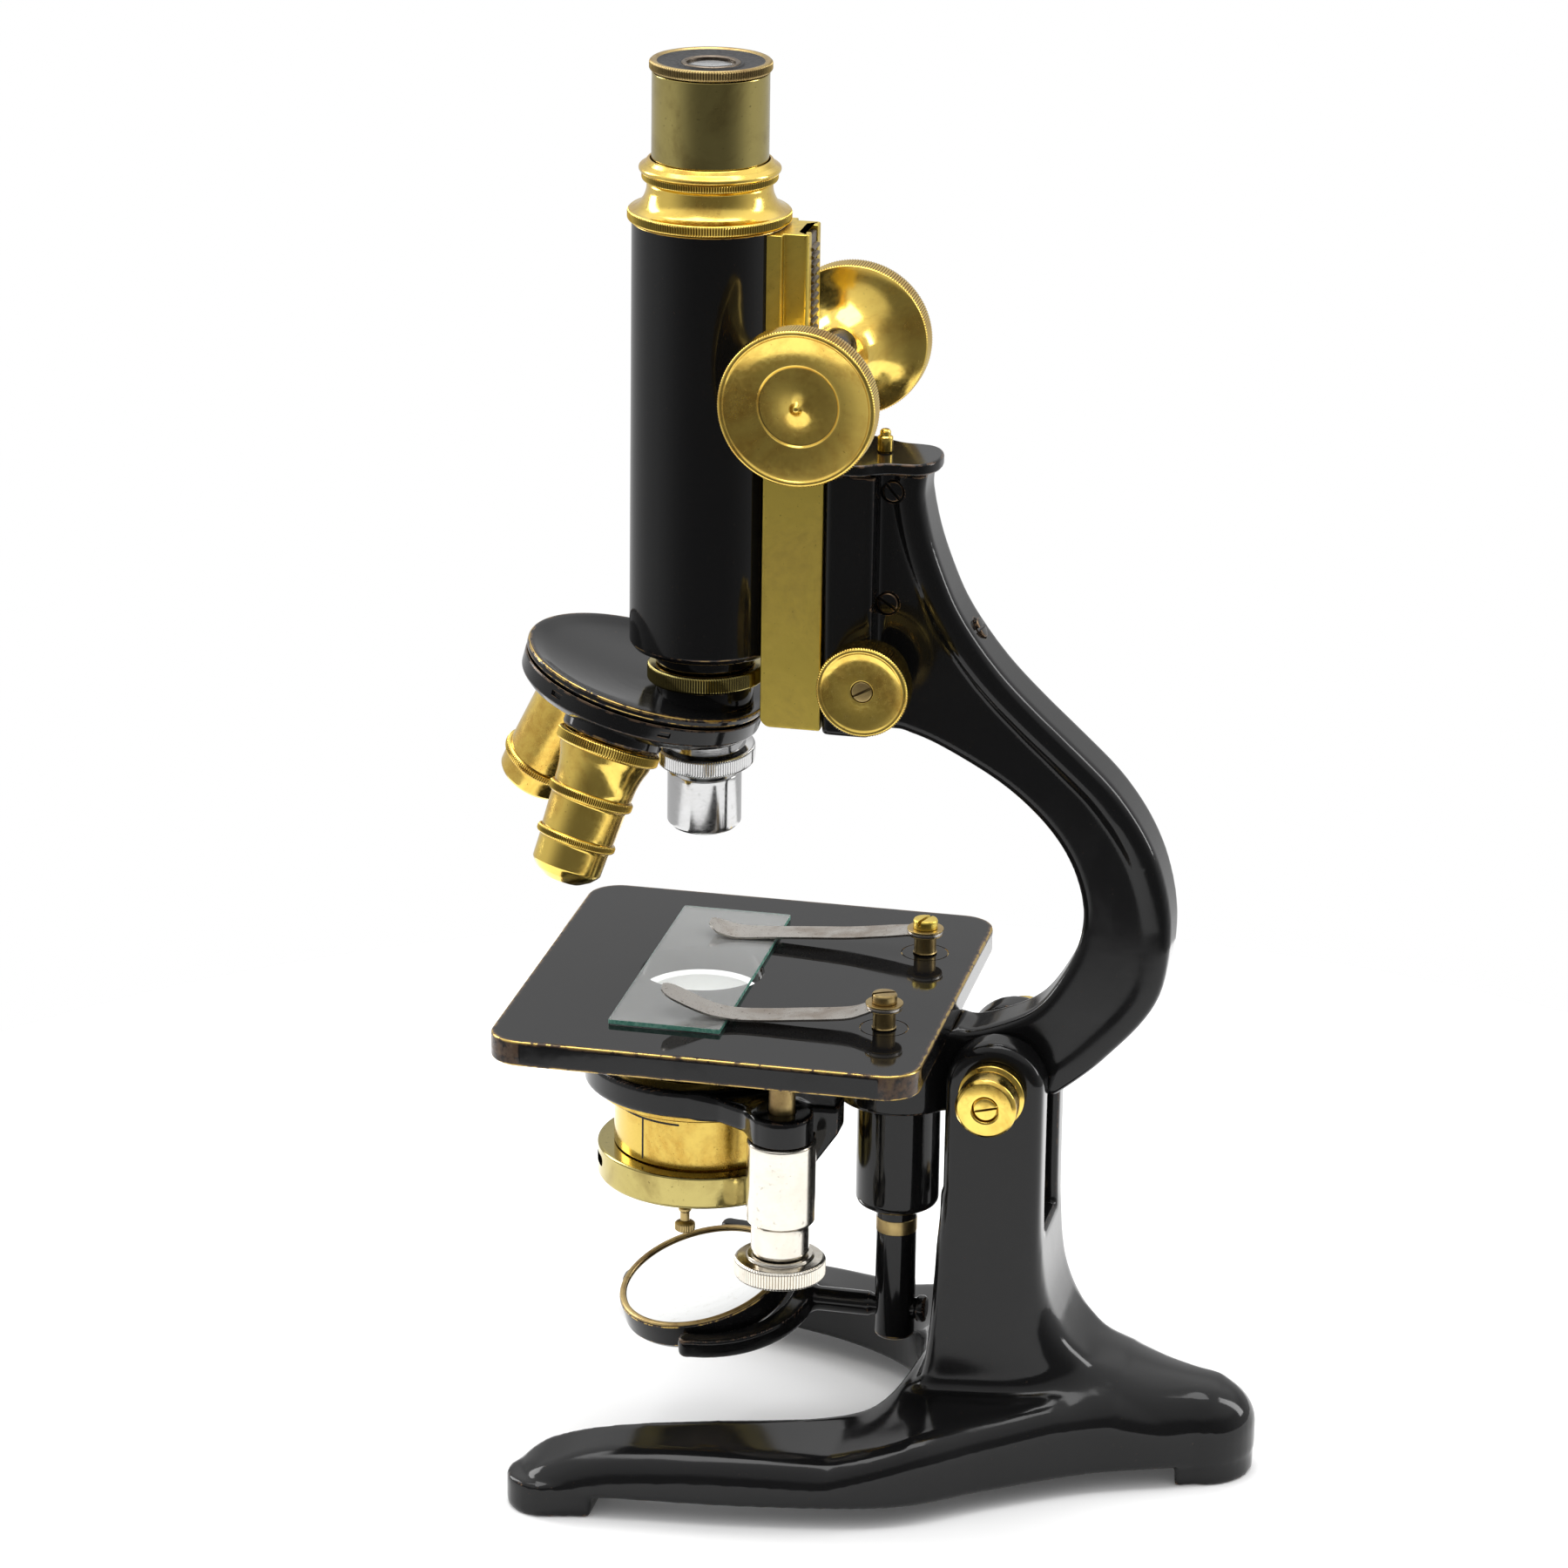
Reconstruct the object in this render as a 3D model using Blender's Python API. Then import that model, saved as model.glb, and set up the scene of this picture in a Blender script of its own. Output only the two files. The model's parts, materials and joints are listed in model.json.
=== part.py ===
"""Monocular compound microscope on a horseshoe foot: black enamel castings, brass, nickel and steel fittings.

Frame: +X runs from the optical axis to the limb, +Y to the far side, +Z up. Heights in the constants are in
millimetres from the top face of the stage, distances from the optical axis.
"""

import math

import bmesh
import bpy
from mathutils import Matrix, Vector

MM = 0.001
GAP = 0.3  # clearance left between touching pieces
SEGMENTS = 26  # sides of a large turned piece
SMALL_SEGMENTS = 10  # sides of a screw or a pin

# Whole object
STAGE_HEIGHT = 112.5  # stage top above the table
AXIS_X = -40.83  # optical axis from the middle of the object's length

# Foot and inclination joint
PIVOT_X, PIVOT_Z = 72.3, -16.5
CHEEK_HALF_LENGTH, CHEEK_INNER, CHEEK_OUTER = 11.5, 8.15, 17.3
SLOT_FLOOR_Z = -53.5
FLOOR_Z = -STAGE_HEIGHT
ARCH_Z = FLOOR_Z + 3.6  # underside of the casting between its three pads
TOE_X, TOE_Y, TOE_RADIUS = -23.0, 55.0, 9.0
HEEL_X, HEEL_RADIUS = 121.2, 12.4
AXLE_RADIUS = 4.0
BOSS_RADIUS, BOSS_LENGTH = 7.1, 10.2

# Limb
LIMB_HALF_WIDTH = 7.8
GUIDE_FRONT_X, GUIDE_BACK_X, GUIDE_HALF_WIDTH = 29.6, 41.0, 12.0
GUIDE_BOTTOM_Z, LIMB_TOP_Z = 64.5, 125.4
TAIL_X = 47.3
TAIL_BOSS_RADIUS, TAIL_BOSS_BOTTOM_Z = 15.0, -26.0
SLEEVE_RADIUS, SLEEVE_BOTTOM_Z = 9.8, -53.8

# Focus drives
PINION_X, PINION_Z, PINION_RADIUS, PINION_TEETH = 27.2, 146.2, 3.0, 10
COARSE_RADIUS, COARSE_RIM_IN, COARSE_RIM_OUT = 17.75, 27.2, 33.6
FINE_X, FINE_Z, FINE_RADIUS, FINE_FRONT = 41.4, 79.8, 10.5, 25.5
TONGUE_HALF_WIDTH, TONGUE_DEPTH = 5.0, 3.5

# Tube
TUBE_RADIUS, TUBE_WALL, TUBE_BOTTOM_Z, TUBE_TOP_Z = 17.4, 1.6, 80.1, 179.0
DRAW_RADIUS, DRAW_WALL, DRAW_TOP_Z = 13.1, 1.2, 212.6

# Nosepiece: a revolving plate whose axis leans forward by NOSE_TILT
NOSE_TILT = math.radians(15.0)
NOSE_X, NOSE_Z, NOSE_RADIUS = -13.4, 73.6, 28.3
NOSE_TURN = math.radians(26.0)  # how far the plate stands past its click at rest
STATION_RADIUS = -NOSE_X / math.cos(NOSE_TILT)
SEAT_DEPTH = 13.4  # seat of an objective below the plate's rim plane

# Stage
STAGE_FRONT_X, STAGE_BACK_X, STAGE_HALF_WIDTH, STAGE_THICKNESS = -38.0, 60.7, 51.5, 6.0
STAGE_CORNER, APERTURE_RADIUS = 8.0, 14.4
CLIP_X, CLIP_Y = 48.0, 24.5
SLIDE_LENGTH, SLIDE_WIDTH, SLIDE_THICKNESS = 76.0, 26.0, 1.1

# Substage and mirror
POST_X, POST_Y = 26.0, -31.0
RING_RADIUS, RING_TOP_Z, RING_BOTTOM_Z = 27.5, -19.5, -26.2
MIRROR_X, MIRROR_Z, MIRROR_RADIUS = 1.6, -80.2, 20.5
MIRROR_ROLL, MIRROR_LEAN = math.radians(12.4), math.radians(-12.5)
TAIL_ROD_RADIUS, TAIL_ROD_BOTTOM_Z = 4.75, -87.2

BLACK = ("black_enamel", (0.012, 0.012, 0.013), 0.0, 0.18)
BRASS = ("brass", (0.72, 0.53, 0.17), 1.0, 0.28)
DARK_BRASS = ("aged_brass", (0.36, 0.25, 0.10), 1.0, 0.42)
NICKEL = ("nickel", (0.76, 0.73, 0.68), 1.0, 0.22)
CHROME = ("chrome", (0.75, 0.76, 0.78), 1.0, 0.12)
STEEL = ("steel", (0.42, 0.40, 0.37), 1.0, 0.38)
GLASS = ("glass", (0.85, 0.93, 0.90), 0.0, 0.02)
MIRROR = ("mirror", (0.92, 0.93, 0.94), 1.0, 0.03)


def clear_scene():
    for obj in list(bpy.data.objects):
        bpy.data.objects.remove(obj, do_unlink=True)


def material_of(finish):
    name, colour, metallic, roughness = finish
    material = bpy.data.materials.get(name)
    if material is None:
        material = bpy.data.materials.new(name)
        material.use_nodes = True
        shader = material.node_tree.nodes["Principled BSDF"]
        shader.inputs["Base Color"].default_value = (*colour, 1.0)
        shader.inputs["Metallic"].default_value = metallic
        shader.inputs["Roughness"].default_value = roughness
    return material


def place(x, y, z):
    """Row position in metres of a point given in millimetres from the stage top on the optical axis."""
    return Vector((x + AXIS_X, y, z + STAGE_HEIGHT)) * MM


def at(x, y, z):
    return Matrix.Translation(place(x, y, z))


ALONG_Y = Matrix.Rotation(math.radians(-90), 4, "X")  # turns +Z to +Y
TOWARDS_NEAR = Matrix.Rotation(math.radians(90), 4, "X")  # turns +Z to -Y
ALONG_X = Matrix.Rotation(math.radians(90), 4, "Y")  # turns +Z to +X


def finish_object(name, bm, finish, matrix, parent=None):
    """Makes the object of a bmesh in millimetres, closes its normals and shades it."""
    bmesh.ops.scale(bm, vec=(MM, MM, MM), verts=bm.verts)
    bmesh.ops.recalc_face_normals(bm, faces=bm.faces)
    mesh = bpy.data.meshes.new(name)
    bm.to_mesh(mesh)
    bm.free()
    mesh.shade_smooth()
    mesh.set_sharp_from_angle(angle=math.radians(35))
    obj = bpy.data.objects.new(name, mesh)
    bpy.context.scene.collection.objects.link(obj)
    if finish:
        mesh.materials.append(material_of(finish))
    if parent:
        obj.parent = parent
        obj.matrix_parent_inverse = parent.matrix_world.inverted()
    obj.matrix_world = matrix
    return obj


def turned_mesh(profile, steps):
    """A closed outline of (radius, height) points turned about Z."""
    bm = bmesh.new()
    corners = [bm.verts.new((max(r, 0.0), 0.0, z)) for r, z in profile]
    edges = [bm.edges.new(pair) for pair in zip(corners, corners[1:] + corners[:1])
             if pair[0].co.x > 0 or pair[1].co.x > 0]
    bmesh.ops.spin(bm, geom=corners + edges, cent=(0, 0, 0), axis=(0, 0, 1), dvec=(0, 0, 0),
                   angle=2 * math.pi, steps=steps, use_merge=True)
    bmesh.ops.remove_doubles(bm, verts=bm.verts, dist=1e-4)
    return bm


def turned(name, profile, finish, matrix, steps=SEGMENTS, parent=None):
    return finish_object(name, turned_mesh(profile, steps), finish, matrix, parent)


def prism(name, outline, low, high, finish, matrix, parent=None):
    """A flat outline of (x, y) points raised from low to high along Z."""
    bm = bmesh.new()
    face = bm.faces.new([bm.verts.new((x, y, low)) for x, y in outline])
    raised = bmesh.ops.extrude_face_region(bm, geom=[face])["geom"]
    moved = [v for v in raised if isinstance(v, bmesh.types.BMVert)]
    bmesh.ops.translate(bm, vec=(0, 0, high - low), verts=moved)
    return finish_object(name, bm, finish, matrix, parent)


def side_prism(name, outline, half_width, finish, parent=None):
    """An outline of (x, z) points from the stage top, widened evenly to both sides of the middle plane."""
    return prism(name, outline, -half_width, half_width, finish, at(0, 0, 0) @ TOWARDS_NEAR, parent)


def box(name, low, high, finish, parent=None):
    outline = [(low[0], low[1]), (high[0], low[1]), (high[0], high[1]), (low[0], high[1])]
    return prism(name, outline, low[2], high[2], finish, at(0, 0, 0), parent)


def arc(cx, cy, radius, start, end, count):
    """Points on an arc, its angles in degrees, ends included."""
    angles = [math.radians(start + (end - start) * i / count) for i in range(count + 1)]
    return [(cx + radius * math.cos(a), cy + radius * math.sin(a)) for a in angles]


def rounded_rectangle(x0, x1, y0, y1, radius, count=5):
    outline = []
    for cx, cy, start in ((x1 - radius, y1 - radius, 0), (x0 + radius, y1 - radius, 90),
                          (x0 + radius, y0 + radius, 180), (x1 - radius, y0 + radius, 270)):
        outline += arc(cx, cy, radius, start, start + 90, count)
    return outline


def smooth_curve(points, per_span):
    """A Catmull-Rom curve through the points, ends included."""
    ends = [2 * Vector(points[0]) - Vector(points[1])] + [Vector(p) for p in points]
    ends.append(2 * Vector(points[-1]) - Vector(points[-2]))
    curve = []
    for a, b, c, d in zip(ends, ends[1:], ends[2:], ends[3:]):
        for i in range(per_span):
            t = i / per_span
            curve.append(0.5 * (2 * b + (c - a) * t + (2 * a - 5 * b + 4 * c - d) * t ** 2
                                + (3 * b - a - 3 * c + d) * t ** 3))
    curve.append(ends[-2])
    return [tuple(p) for p in curve]


def bevel(obj, width, segments=2, angle=30):
    modifier = obj.modifiers.new("bevel", "BEVEL")
    modifier.width = width * MM
    modifier.segments = segments
    modifier.limit_method = "ANGLE"
    modifier.angle_limit = math.radians(angle)
    return obj


def boolean(obj, other, operation):
    """Cuts the other object from this one, or joins it, and makes it a helper that isn't rendered."""
    modifier = obj.modifiers.new(operation.lower(), "BOOLEAN")
    modifier.operation = operation
    modifier.object = other
    other.hide_render = True
    other.display_type = "WIRE"
    return obj


def cut(obj, *cutters):
    for cutter in cutters:
        boolean(obj, cutter, "DIFFERENCE")
    return obj


def join(obj, *others):
    for other in others:
        boolean(obj, other, "UNION")
    return obj


def rod(name, radius, low, high, finish, matrix, steps=SMALL_SEGMENTS, parent=None):
    return turned(name, [(0, high), (radius, high), (radius, low), (0, low)], finish, matrix, steps, parent)


def slotted_screw(name, radius, height, finish, matrix, parent=None):
    """A cheese-head screw whose head stands up from its seat at height 0, with a short shank below it."""
    shank = radius * 0.45
    head = turned(name, [(0, height), (radius * 0.9, height), (radius, height * 0.8), (radius, 0),
                         (shank, 0),
                         (shank, -2 * radius), (0, -2 * radius)], finish, matrix, SMALL_SEGMENTS, parent)
    slot = prism(name + "_slot", rounded_rectangle(-radius * 1.2, radius * 1.2, -radius * 0.14,
                                                   radius * 0.14,
                                                   radius * 0.05, 1), height * 0.5, height * 2, None,
                 matrix)
    return cut(head, slot)


def hole(name, radius, low, high, matrix, steps=SMALL_SEGMENTS):
    return rod(name, radius, low, high, None, matrix, steps)


def empty(name, matrix, parent=None):
    """A joint frame: its origin lies on the joint's axis."""
    frame = bpy.data.objects.new(name, None)
    bpy.context.scene.collection.objects.link(frame)
    if parent:
        frame.parent = parent
        frame.matrix_parent_inverse = parent.matrix_world.inverted()
    frame.matrix_world = matrix
    bpy.context.view_layer.update()
    return frame


def make_foot():
    """Horseshoe foot, column and cheeks: rough solids joined, rounded by remeshing, then cut true."""
    outer = [(TOE_X, -TOE_Y - TOE_RADIUS), (25, -58.5), (57, -51), (77, -37), (99, -21.5),
             (HEEL_X, -HEEL_RADIUS)]
    inner = [(54, 0), (51.5, -13), (45, -24), (30, -34), (10, -40.5), (TOE_X, -TOE_Y + TOE_RADIUS)]
    heel = arc(HEEL_X, 0, HEEL_RADIUS, -90, 0, 5)[1:]
    toe = arc(TOE_X, -TOE_Y, TOE_RADIUS, 90, 270, 8)[1:-1]
    half = smooth_curve(inner, 3) + toe + smooth_curve(outer, 3) + heel
    outline = half + [(x, -y) for x, y in reversed(half)][1:-1]
    foot = prism("foot_casting", outline, ARCH_Z - 6, -78, BLACK, at(0, 0, 0))
    top = smooth_curve([(-50, -98.2), (-15, -98.2), (5, -97.4), (25, -95.6), (46, -91.5), (62, -86),
                        (85, -84),
                        (104, -86), (116, -89.3), (127, -92.3), (145, -96)], 2)
    cut(foot, side_prism("foot_top_trim", top + [(145, 0), (-50, 0)], 90, None))
    bevel(foot, 6.5, 3, 40)
    sections = [  # height, front x, back x, half width, length and breadth of the rounding at the back
        (FLOOR_Z + 10, 54, 122, 19, 40, 13), (FLOOR_Z + 20, 56, 113, 19.5, 34, 14),
        (FLOOR_Z + 27, 57.5, 103, 19.3, 24, 14), (FLOOR_Z + 32, 58.3, 96.5, 19, 17, 13),
        (FLOOR_Z + 37, 59, 93, 18.6, 12, 11), (FLOOR_Z + 45.5, 59.8, 88.6, 18, 7, 7),
        (FLOOR_Z + 54, 60.2, 85.4, 17.6, 5, 5), (PIVOT_Z - 26, 60.7, 84, CHEEK_OUTER, 4, 4),
        (PIVOT_Z, PIVOT_X - CHEEK_HALF_LENGTH, PIVOT_X + CHEEK_HALF_LENGTH, CHEEK_OUTER, 4, 4)]
    column = lofted("foot_column", sections)
    cheeks = side_prism("foot_cheeks", rounded_top(PIVOT_X, PIVOT_Z, CHEEK_HALF_LENGTH, PIVOT_Z - 30),
                        CHEEK_OUTER, None)
    bevel(cheeks, 2.6, 2, 40)
    join(foot, column, cheeks)
    round_off(foot)
    slot = box("foot_slot", (40, -CHEEK_INNER, SLOT_FLOOR_Z), (100, CHEEK_INNER, 20), None)
    below = box("foot_underside", (-60, -90, FLOOR_Z - 20), (160, 90, ARCH_Z), None)
    axle = hole("foot_axle_hole", AXLE_RADIUS + 0.1, -40, 40, at(PIVOT_X, 0, PIVOT_Z) @ ALONG_Y, 16)
    cut(foot, slot, below, axle, hole("foot_screw_hole", 2.1, -20, 5, at(77, 0, SLOT_FLOOR_Z)))
    for side in (-1, 1):
        pad = rounded_rectangle(TOE_X - 7.5, TOE_X + 11, -TOE_RADIUS + 1.5, TOE_RADIUS - 1.5, 7)
        join(foot, prism(f"foot_pad_{side}", pad, FLOOR_Z, ARCH_Z + 3, None, at(0, side * TOE_Y, 0)))
    pad = rounded_rectangle(HEEL_X - 5, HEEL_X + HEEL_RADIUS - 1.6, -HEEL_RADIUS + 2, HEEL_RADIUS - 2, 7)
    join(foot, prism("foot_heel", pad, FLOOR_Z, ARCH_Z + 3, None, at(0, 0, 0)))


def round_off(casting):
    """Softens every edge of a casting and thins its mesh."""
    remesh = casting.modifiers.new("even_mesh", "REMESH")
    remesh.mode = "VOXEL"
    remesh.voxel_size = 1.8 * MM
    rounding = casting.modifiers.new("rounding", "SMOOTH")
    rounding.factor = 0.5
    rounding.iterations = 9
    thinning = casting.modifiers.new("thinning", "DECIMATE")
    thinning.ratio = 0.06


def rounded_top(cx, cz, radius, bottom):
    return [(cx - radius, bottom), (cx + radius, bottom)] + arc(cx, cz, radius, 0, 180, 14)


def lofted(name, sections):
    """A closed solid through stacked outlines, square in front with small corners and elliptical behind."""
    bm = bmesh.new()
    rings = []
    for z, front, back, half_width, length, breadth in sections:
        behind = [(back - length + length * c, half_width - breadth + breadth * s) for c,
                  s in arc(0, 0, 1, 0, 90, 5)]
        before = arc(front + 4, half_width - 4, 4, 90, 180, 3)
        side = behind + before
        outline = side + [(x, -y) for x, y in reversed(side)]
        rings.append([bm.verts.new((x, y, z)) for x, y in outline])
    for low, high in zip(rings, rings[1:]):
        for i in range(len(low)):
            j = (i + 1) % len(low)
            bm.faces.new((low[i], low[j], high[j], high[i]))
    bm.faces.new(rings[0])
    bm.faces.new(rings[-1])
    return finish_object(name, bm, None, at(0, 0, 0))


def make_inclination_joint():
    centre = at(PIVOT_X, 0, PIVOT_Z)
    reach = CHEEK_OUTER + GAP
    rod("inclination_axle", AXLE_RADIUS, -reach, reach, STEEL, centre @ ALONG_Y, 16)
    for side, turn in (("near", TOWARDS_NEAR), ("far", ALONG_Y)):
        front = reach + BOSS_LENGTH
        matrix = centre @ turn
        boss = turned(f"inclination_boss_{side}",
                      [(0, front), (BOSS_RADIUS - 0.8, front), (BOSS_RADIUS, front - 0.8),
                       (BOSS_RADIUS, reach + 3.2),
                       (BOSS_RADIUS + 0.6, reach + 2.4), (BOSS_RADIUS + 0.6, reach + GAP),
                       (0, reach + GAP)],
                      BRASS, matrix, 22)
        cut(boss, hole(f"boss_hole_{side}", 2.9, front - 3, front + 2, matrix))
    slotted_screw("boss_screw_near", 2.6, 1.6, DARK_BRASS, centre @ TOWARDS_NEAR @
                  Matrix.Translation((0, 0, (reach + BOSS_LENGTH - 1.6) * MM)) @ Matrix.Rotation(0.25, 4,
                                                                                                 "Z"))
    cut(bpy.data.objects["inclination_boss_near"],
        hole("boss_shank_hole", 1.5, reach + 2, reach + BOSS_LENGTH, centre @ TOWARDS_NEAR))
    slotted_screw("slot_screw", 3.6, 2.3, DARK_BRASS, at(77, 0, SLOT_FLOOR_Z + GAP))


def make_limb(limb):
    outer = [(51.4, LIMB_TOP_Z + 2), (50.8, 118), (53.2, 110), (59.4, 94.8), (71.2, 79), (87.3, 63.7),
             (101.2, 48.4),
             (108.4, 32), (109.8, 20), (107.6, 6), (101.5, -4.5), (92.5, -13.5), (84.5, -20.2)]
    inner = [(61, -6.6), (67.5, -5.4), (77, -0.8), (84.5, 6.5), (88.9, 16), (89.7, 25), (87.1, 35.8),
             (79.5, 46.6),
             (69, 55), (57, 61.6), (47, 64.8)]
    belly = arc(PIVOT_X, PIVOT_Z, 11.2, -20, -100, 5)
    outline = smooth_curve(outer, 3) + belly + [(62, -25.4), (TAIL_X, -25.4),
                                                (TAIL_X, -6.9)] + smooth_curve(inner, 3)
    outline += [(38, GUIDE_BOTTOM_Z + 0.6), (38, LIMB_TOP_Z + 2)]
    casting = bevel(side_prism("limb_casting", outline, LIMB_HALF_WIDTH, BLACK, limb), 2.2, 2, 40)
    guide = prism("limb_guide", rounded_rectangle(GUIDE_FRONT_X, GUIDE_BACK_X, -GUIDE_HALF_WIDTH,
                                                  GUIDE_HALF_WIDTH, 0.8, 1),
                  GUIDE_BOTTOM_Z, LIMB_TOP_Z + 1.5, None, at(0, 0, 0))
    boss = turned("limb_tail_boss", [(0, -6.3), (TAIL_BOSS_RADIUS, -6.3),
                                     (TAIL_BOSS_RADIUS, TAIL_BOSS_BOTTOM_Z),
                                     (0, TAIL_BOSS_BOTTOM_Z)], None, at(TAIL_X, 0, 0))
    join(casting, guide, boss)
    groove = TONGUE_HALF_WIDTH + GAP
    cut(casting,
        box("limb_top_trim", (20, -30, LIMB_TOP_Z), (70, 30, LIMB_TOP_Z + 10), None),
        box("limb_groove", (GUIDE_FRONT_X - 5, -groove, 40),
            (GUIDE_FRONT_X + TONGUE_DEPTH + GAP, groove, 140), None),
        hole("limb_axle_hole", AXLE_RADIUS + 0.1, -20, 20, at(PIVOT_X, 0, PIVOT_Z) @ ALONG_Y, 16),
        hole("limb_spindle_hole", 2.9, -20, 20, at(FINE_X, 0, FINE_Z) @ ALONG_Y),
        hole("limb_sleeve_hole", TAIL_ROD_RADIUS + 0.4, -40, -18, at(TAIL_X, 0, 0)))
    for name, x, z, radius in (("upper", 44.4, 121.2, 2.5), ("lower", 43.9, 95.0, 2.5)):
        spot = at(x, -LIMB_HALF_WIDTH, z) @ TOWARDS_NEAR
        cut(casting, hole(f"limb_{name}_pocket", radius + 0.35, -1.2, 3, spot, 14),
            hole(f"limb_{name}_thread", radius * 0.45 + 0.3, -8, 1, spot))
        slotted_screw(f"limb_side_screw_{name}", radius, 1.1, BLACK,
                      spot @ Matrix.Translation((0, 0, -0.9 * MM)) @ Matrix.Rotation(-0.8, 4, "Z"), limb)
    normal = Matrix.Rotation(math.radians(61), 4, "Y")
    spot = at(63.6, 0, 88.6) @ normal
    cut(casting, hole("limb_back_pocket", 2.75, -0.9, 6, spot), hole("limb_back_thread", 1.4, -9, 1, spot))
    slotted_screw("limb_back_screw", 2.4, 1.1, BLACK, spot @ Matrix.Translation((0, 0, -0.6 * MM)), limb)
    make_limb_top(limb)
    make_tail_sleeve(limb)


def make_limb_top(limb):
    """Cover plate over the guide and the limb, wider in front, with a stud through it."""
    low, high = LIMB_TOP_Z + GAP, LIMB_TOP_Z + 3.1
    side = smooth_curve([(29.8, 12.9), (38, 12.9), (41.5, 10.2), (45, 9.0), (50.5, 8.6)], 3)
    end = arc(48.3, 0, 5.6, 0, 60, 4)
    outline = end + [(x, y) for x, y in reversed(side)]
    outline = outline + [(x, -y) for x, y in reversed(outline) if y > 0.01]
    plate = prism("limb_top_plate", outline, low, high, BLACK, at(0, 0, 0), limb)
    groove = TONGUE_HALF_WIDTH + GAP
    cut(plate, box("plate_groove", (20, -groove, 100), (GUIDE_FRONT_X + TONGUE_DEPTH + GAP, groove, 160),
                   None),
        hole("plate_stud_hole", 1.3, 100, 160, at(40.8, 0, 0)))
    turned("top_plate_stud", [(0, high + 5.4), (1.1, high + 5.4), (1.7, high + 4.7), (1.7, high + GAP),
                              (1.0, high + GAP),
                              (1.0, low + GAP), (0, low + GAP)], BRASS, at(40.8, 0, 0), SMALL_SEGMENTS,
           limb)


def make_tail_sleeve(limb):
    bore = TAIL_ROD_RADIUS + 0.1
    top = TAIL_BOSS_BOTTOM_Z - GAP
    turned("tail_sleeve", [(bore, top), (SLEEVE_RADIUS, top), (SLEEVE_RADIUS, SLEEVE_BOTTOM_Z + 2),
                           (SLEEVE_RADIUS - 2, SLEEVE_BOTTOM_Z), (bore, SLEEVE_BOTTOM_Z)],
           BLACK, at(TAIL_X, 0, 0), SEGMENTS, limb)


def make_fine_focus(limb):
    frame = empty("fine_focus_axis", at(FINE_X, 0, FINE_Z), limb)
    rod("fine_focus_spindle", 2.5, -FINE_FRONT + 4, FINE_FRONT - 4, STEEL, at(FINE_X, 0, FINE_Z) @ ALONG_Y,
        parent=frame)
    inner = GUIDE_HALF_WIDTH + GAP
    for side, turn in (("near", TOWARDS_NEAR), ("far", ALONG_Y)):
        matrix = at(FINE_X, 0, FINE_Z) @ turn
        knob = turned(f"fine_focus_knob_{side}",
                      [(0, FINE_FRONT - 0.6), (7.5, FINE_FRONT - 0.6), (FINE_RADIUS - 0.7, FINE_FRONT),
                       (FINE_RADIUS, FINE_FRONT - 0.7), (FINE_RADIUS, FINE_FRONT - 7),
                       (FINE_RADIUS - 1.2, FINE_FRONT - 7.4),
                       (FINE_RADIUS - 2.2, inner), (0, inner)], BRASS, matrix, SEGMENTS, frame)
        cut(knob, hole(f"fine_bore_{side}", 2.55, 0, FINE_FRONT - 3.9, matrix))
        if side == "near":
            cut(knob, hole("fine_screw_pocket", 2.5, FINE_FRONT - 1.9, FINE_FRONT + 2, matrix),
                hole("fine_screw_thread", 1.3, FINE_FRONT - 5, FINE_FRONT, matrix))
            slotted_screw("fine_knob_screw", 2.2, 1.3, DARK_BRASS,
                          matrix @ Matrix.Translation((0, 0, (FINE_FRONT - 1.6) * MM)), frame)
    cut(bpy.data.objects["fine_focus_spindle"],
        hole("spindle_thread", 1.3, FINE_FRONT - 8, FINE_FRONT, at(FINE_X, 0, FINE_Z) @ TOWARDS_NEAR))


def make_slide_block(fine_slide):
    """Brass block wrapping the slide bar, with a tongue in the guide of the limb and the pinion housing on top."""
    back = GUIDE_FRONT_X - GAP
    low, high = 65.3, 137.6
    block = prism("slide_block", rounded_rectangle(15.4, back, -12, 12, 0.5, 1), low, high, BRASS,
                  at(0, 0, 0), fine_slide)
    tongue = box("block_tongue", (back - 2, -TONGUE_HALF_WIDTH, low + 1.5),
                 (GUIDE_FRONT_X + TONGUE_DEPTH, TONGUE_HALF_WIDTH, 124), None)
    channel = box("block_channel", (0, -9.4, 40), (25.3, 9.4, 160), None)
    cut(join(block, tongue), channel)
    housing = box("pinion_housing", (25.0, -5.6, high + GAP), (32.2, 5.6, 155.0), BLACK, fine_slide)
    bevel(housing, 0.5, 1)
    axle = at(PINION_X, 0, PINION_Z) @ ALONG_Y
    cut(housing, hole("housing_cavity", 3.9, -4, 4, axle, 24), hole("housing_bore", 2.5, -10, 10, axle))


def gear_outline(teeth, root, tip, share):
    """Straight-sided teeth round a circle, each taking the given share of its pitch at the root."""
    points = []
    for i in range(teeth):
        middle = 2 * math.pi * i / teeth
        for radius, width in ((root, -share), (tip, -share * 0.42), (tip, share * 0.42), (root, share)):
            angle = middle + width * math.pi / teeth
            points.append((radius * math.cos(angle), radius * math.sin(angle)))
    return points


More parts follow.
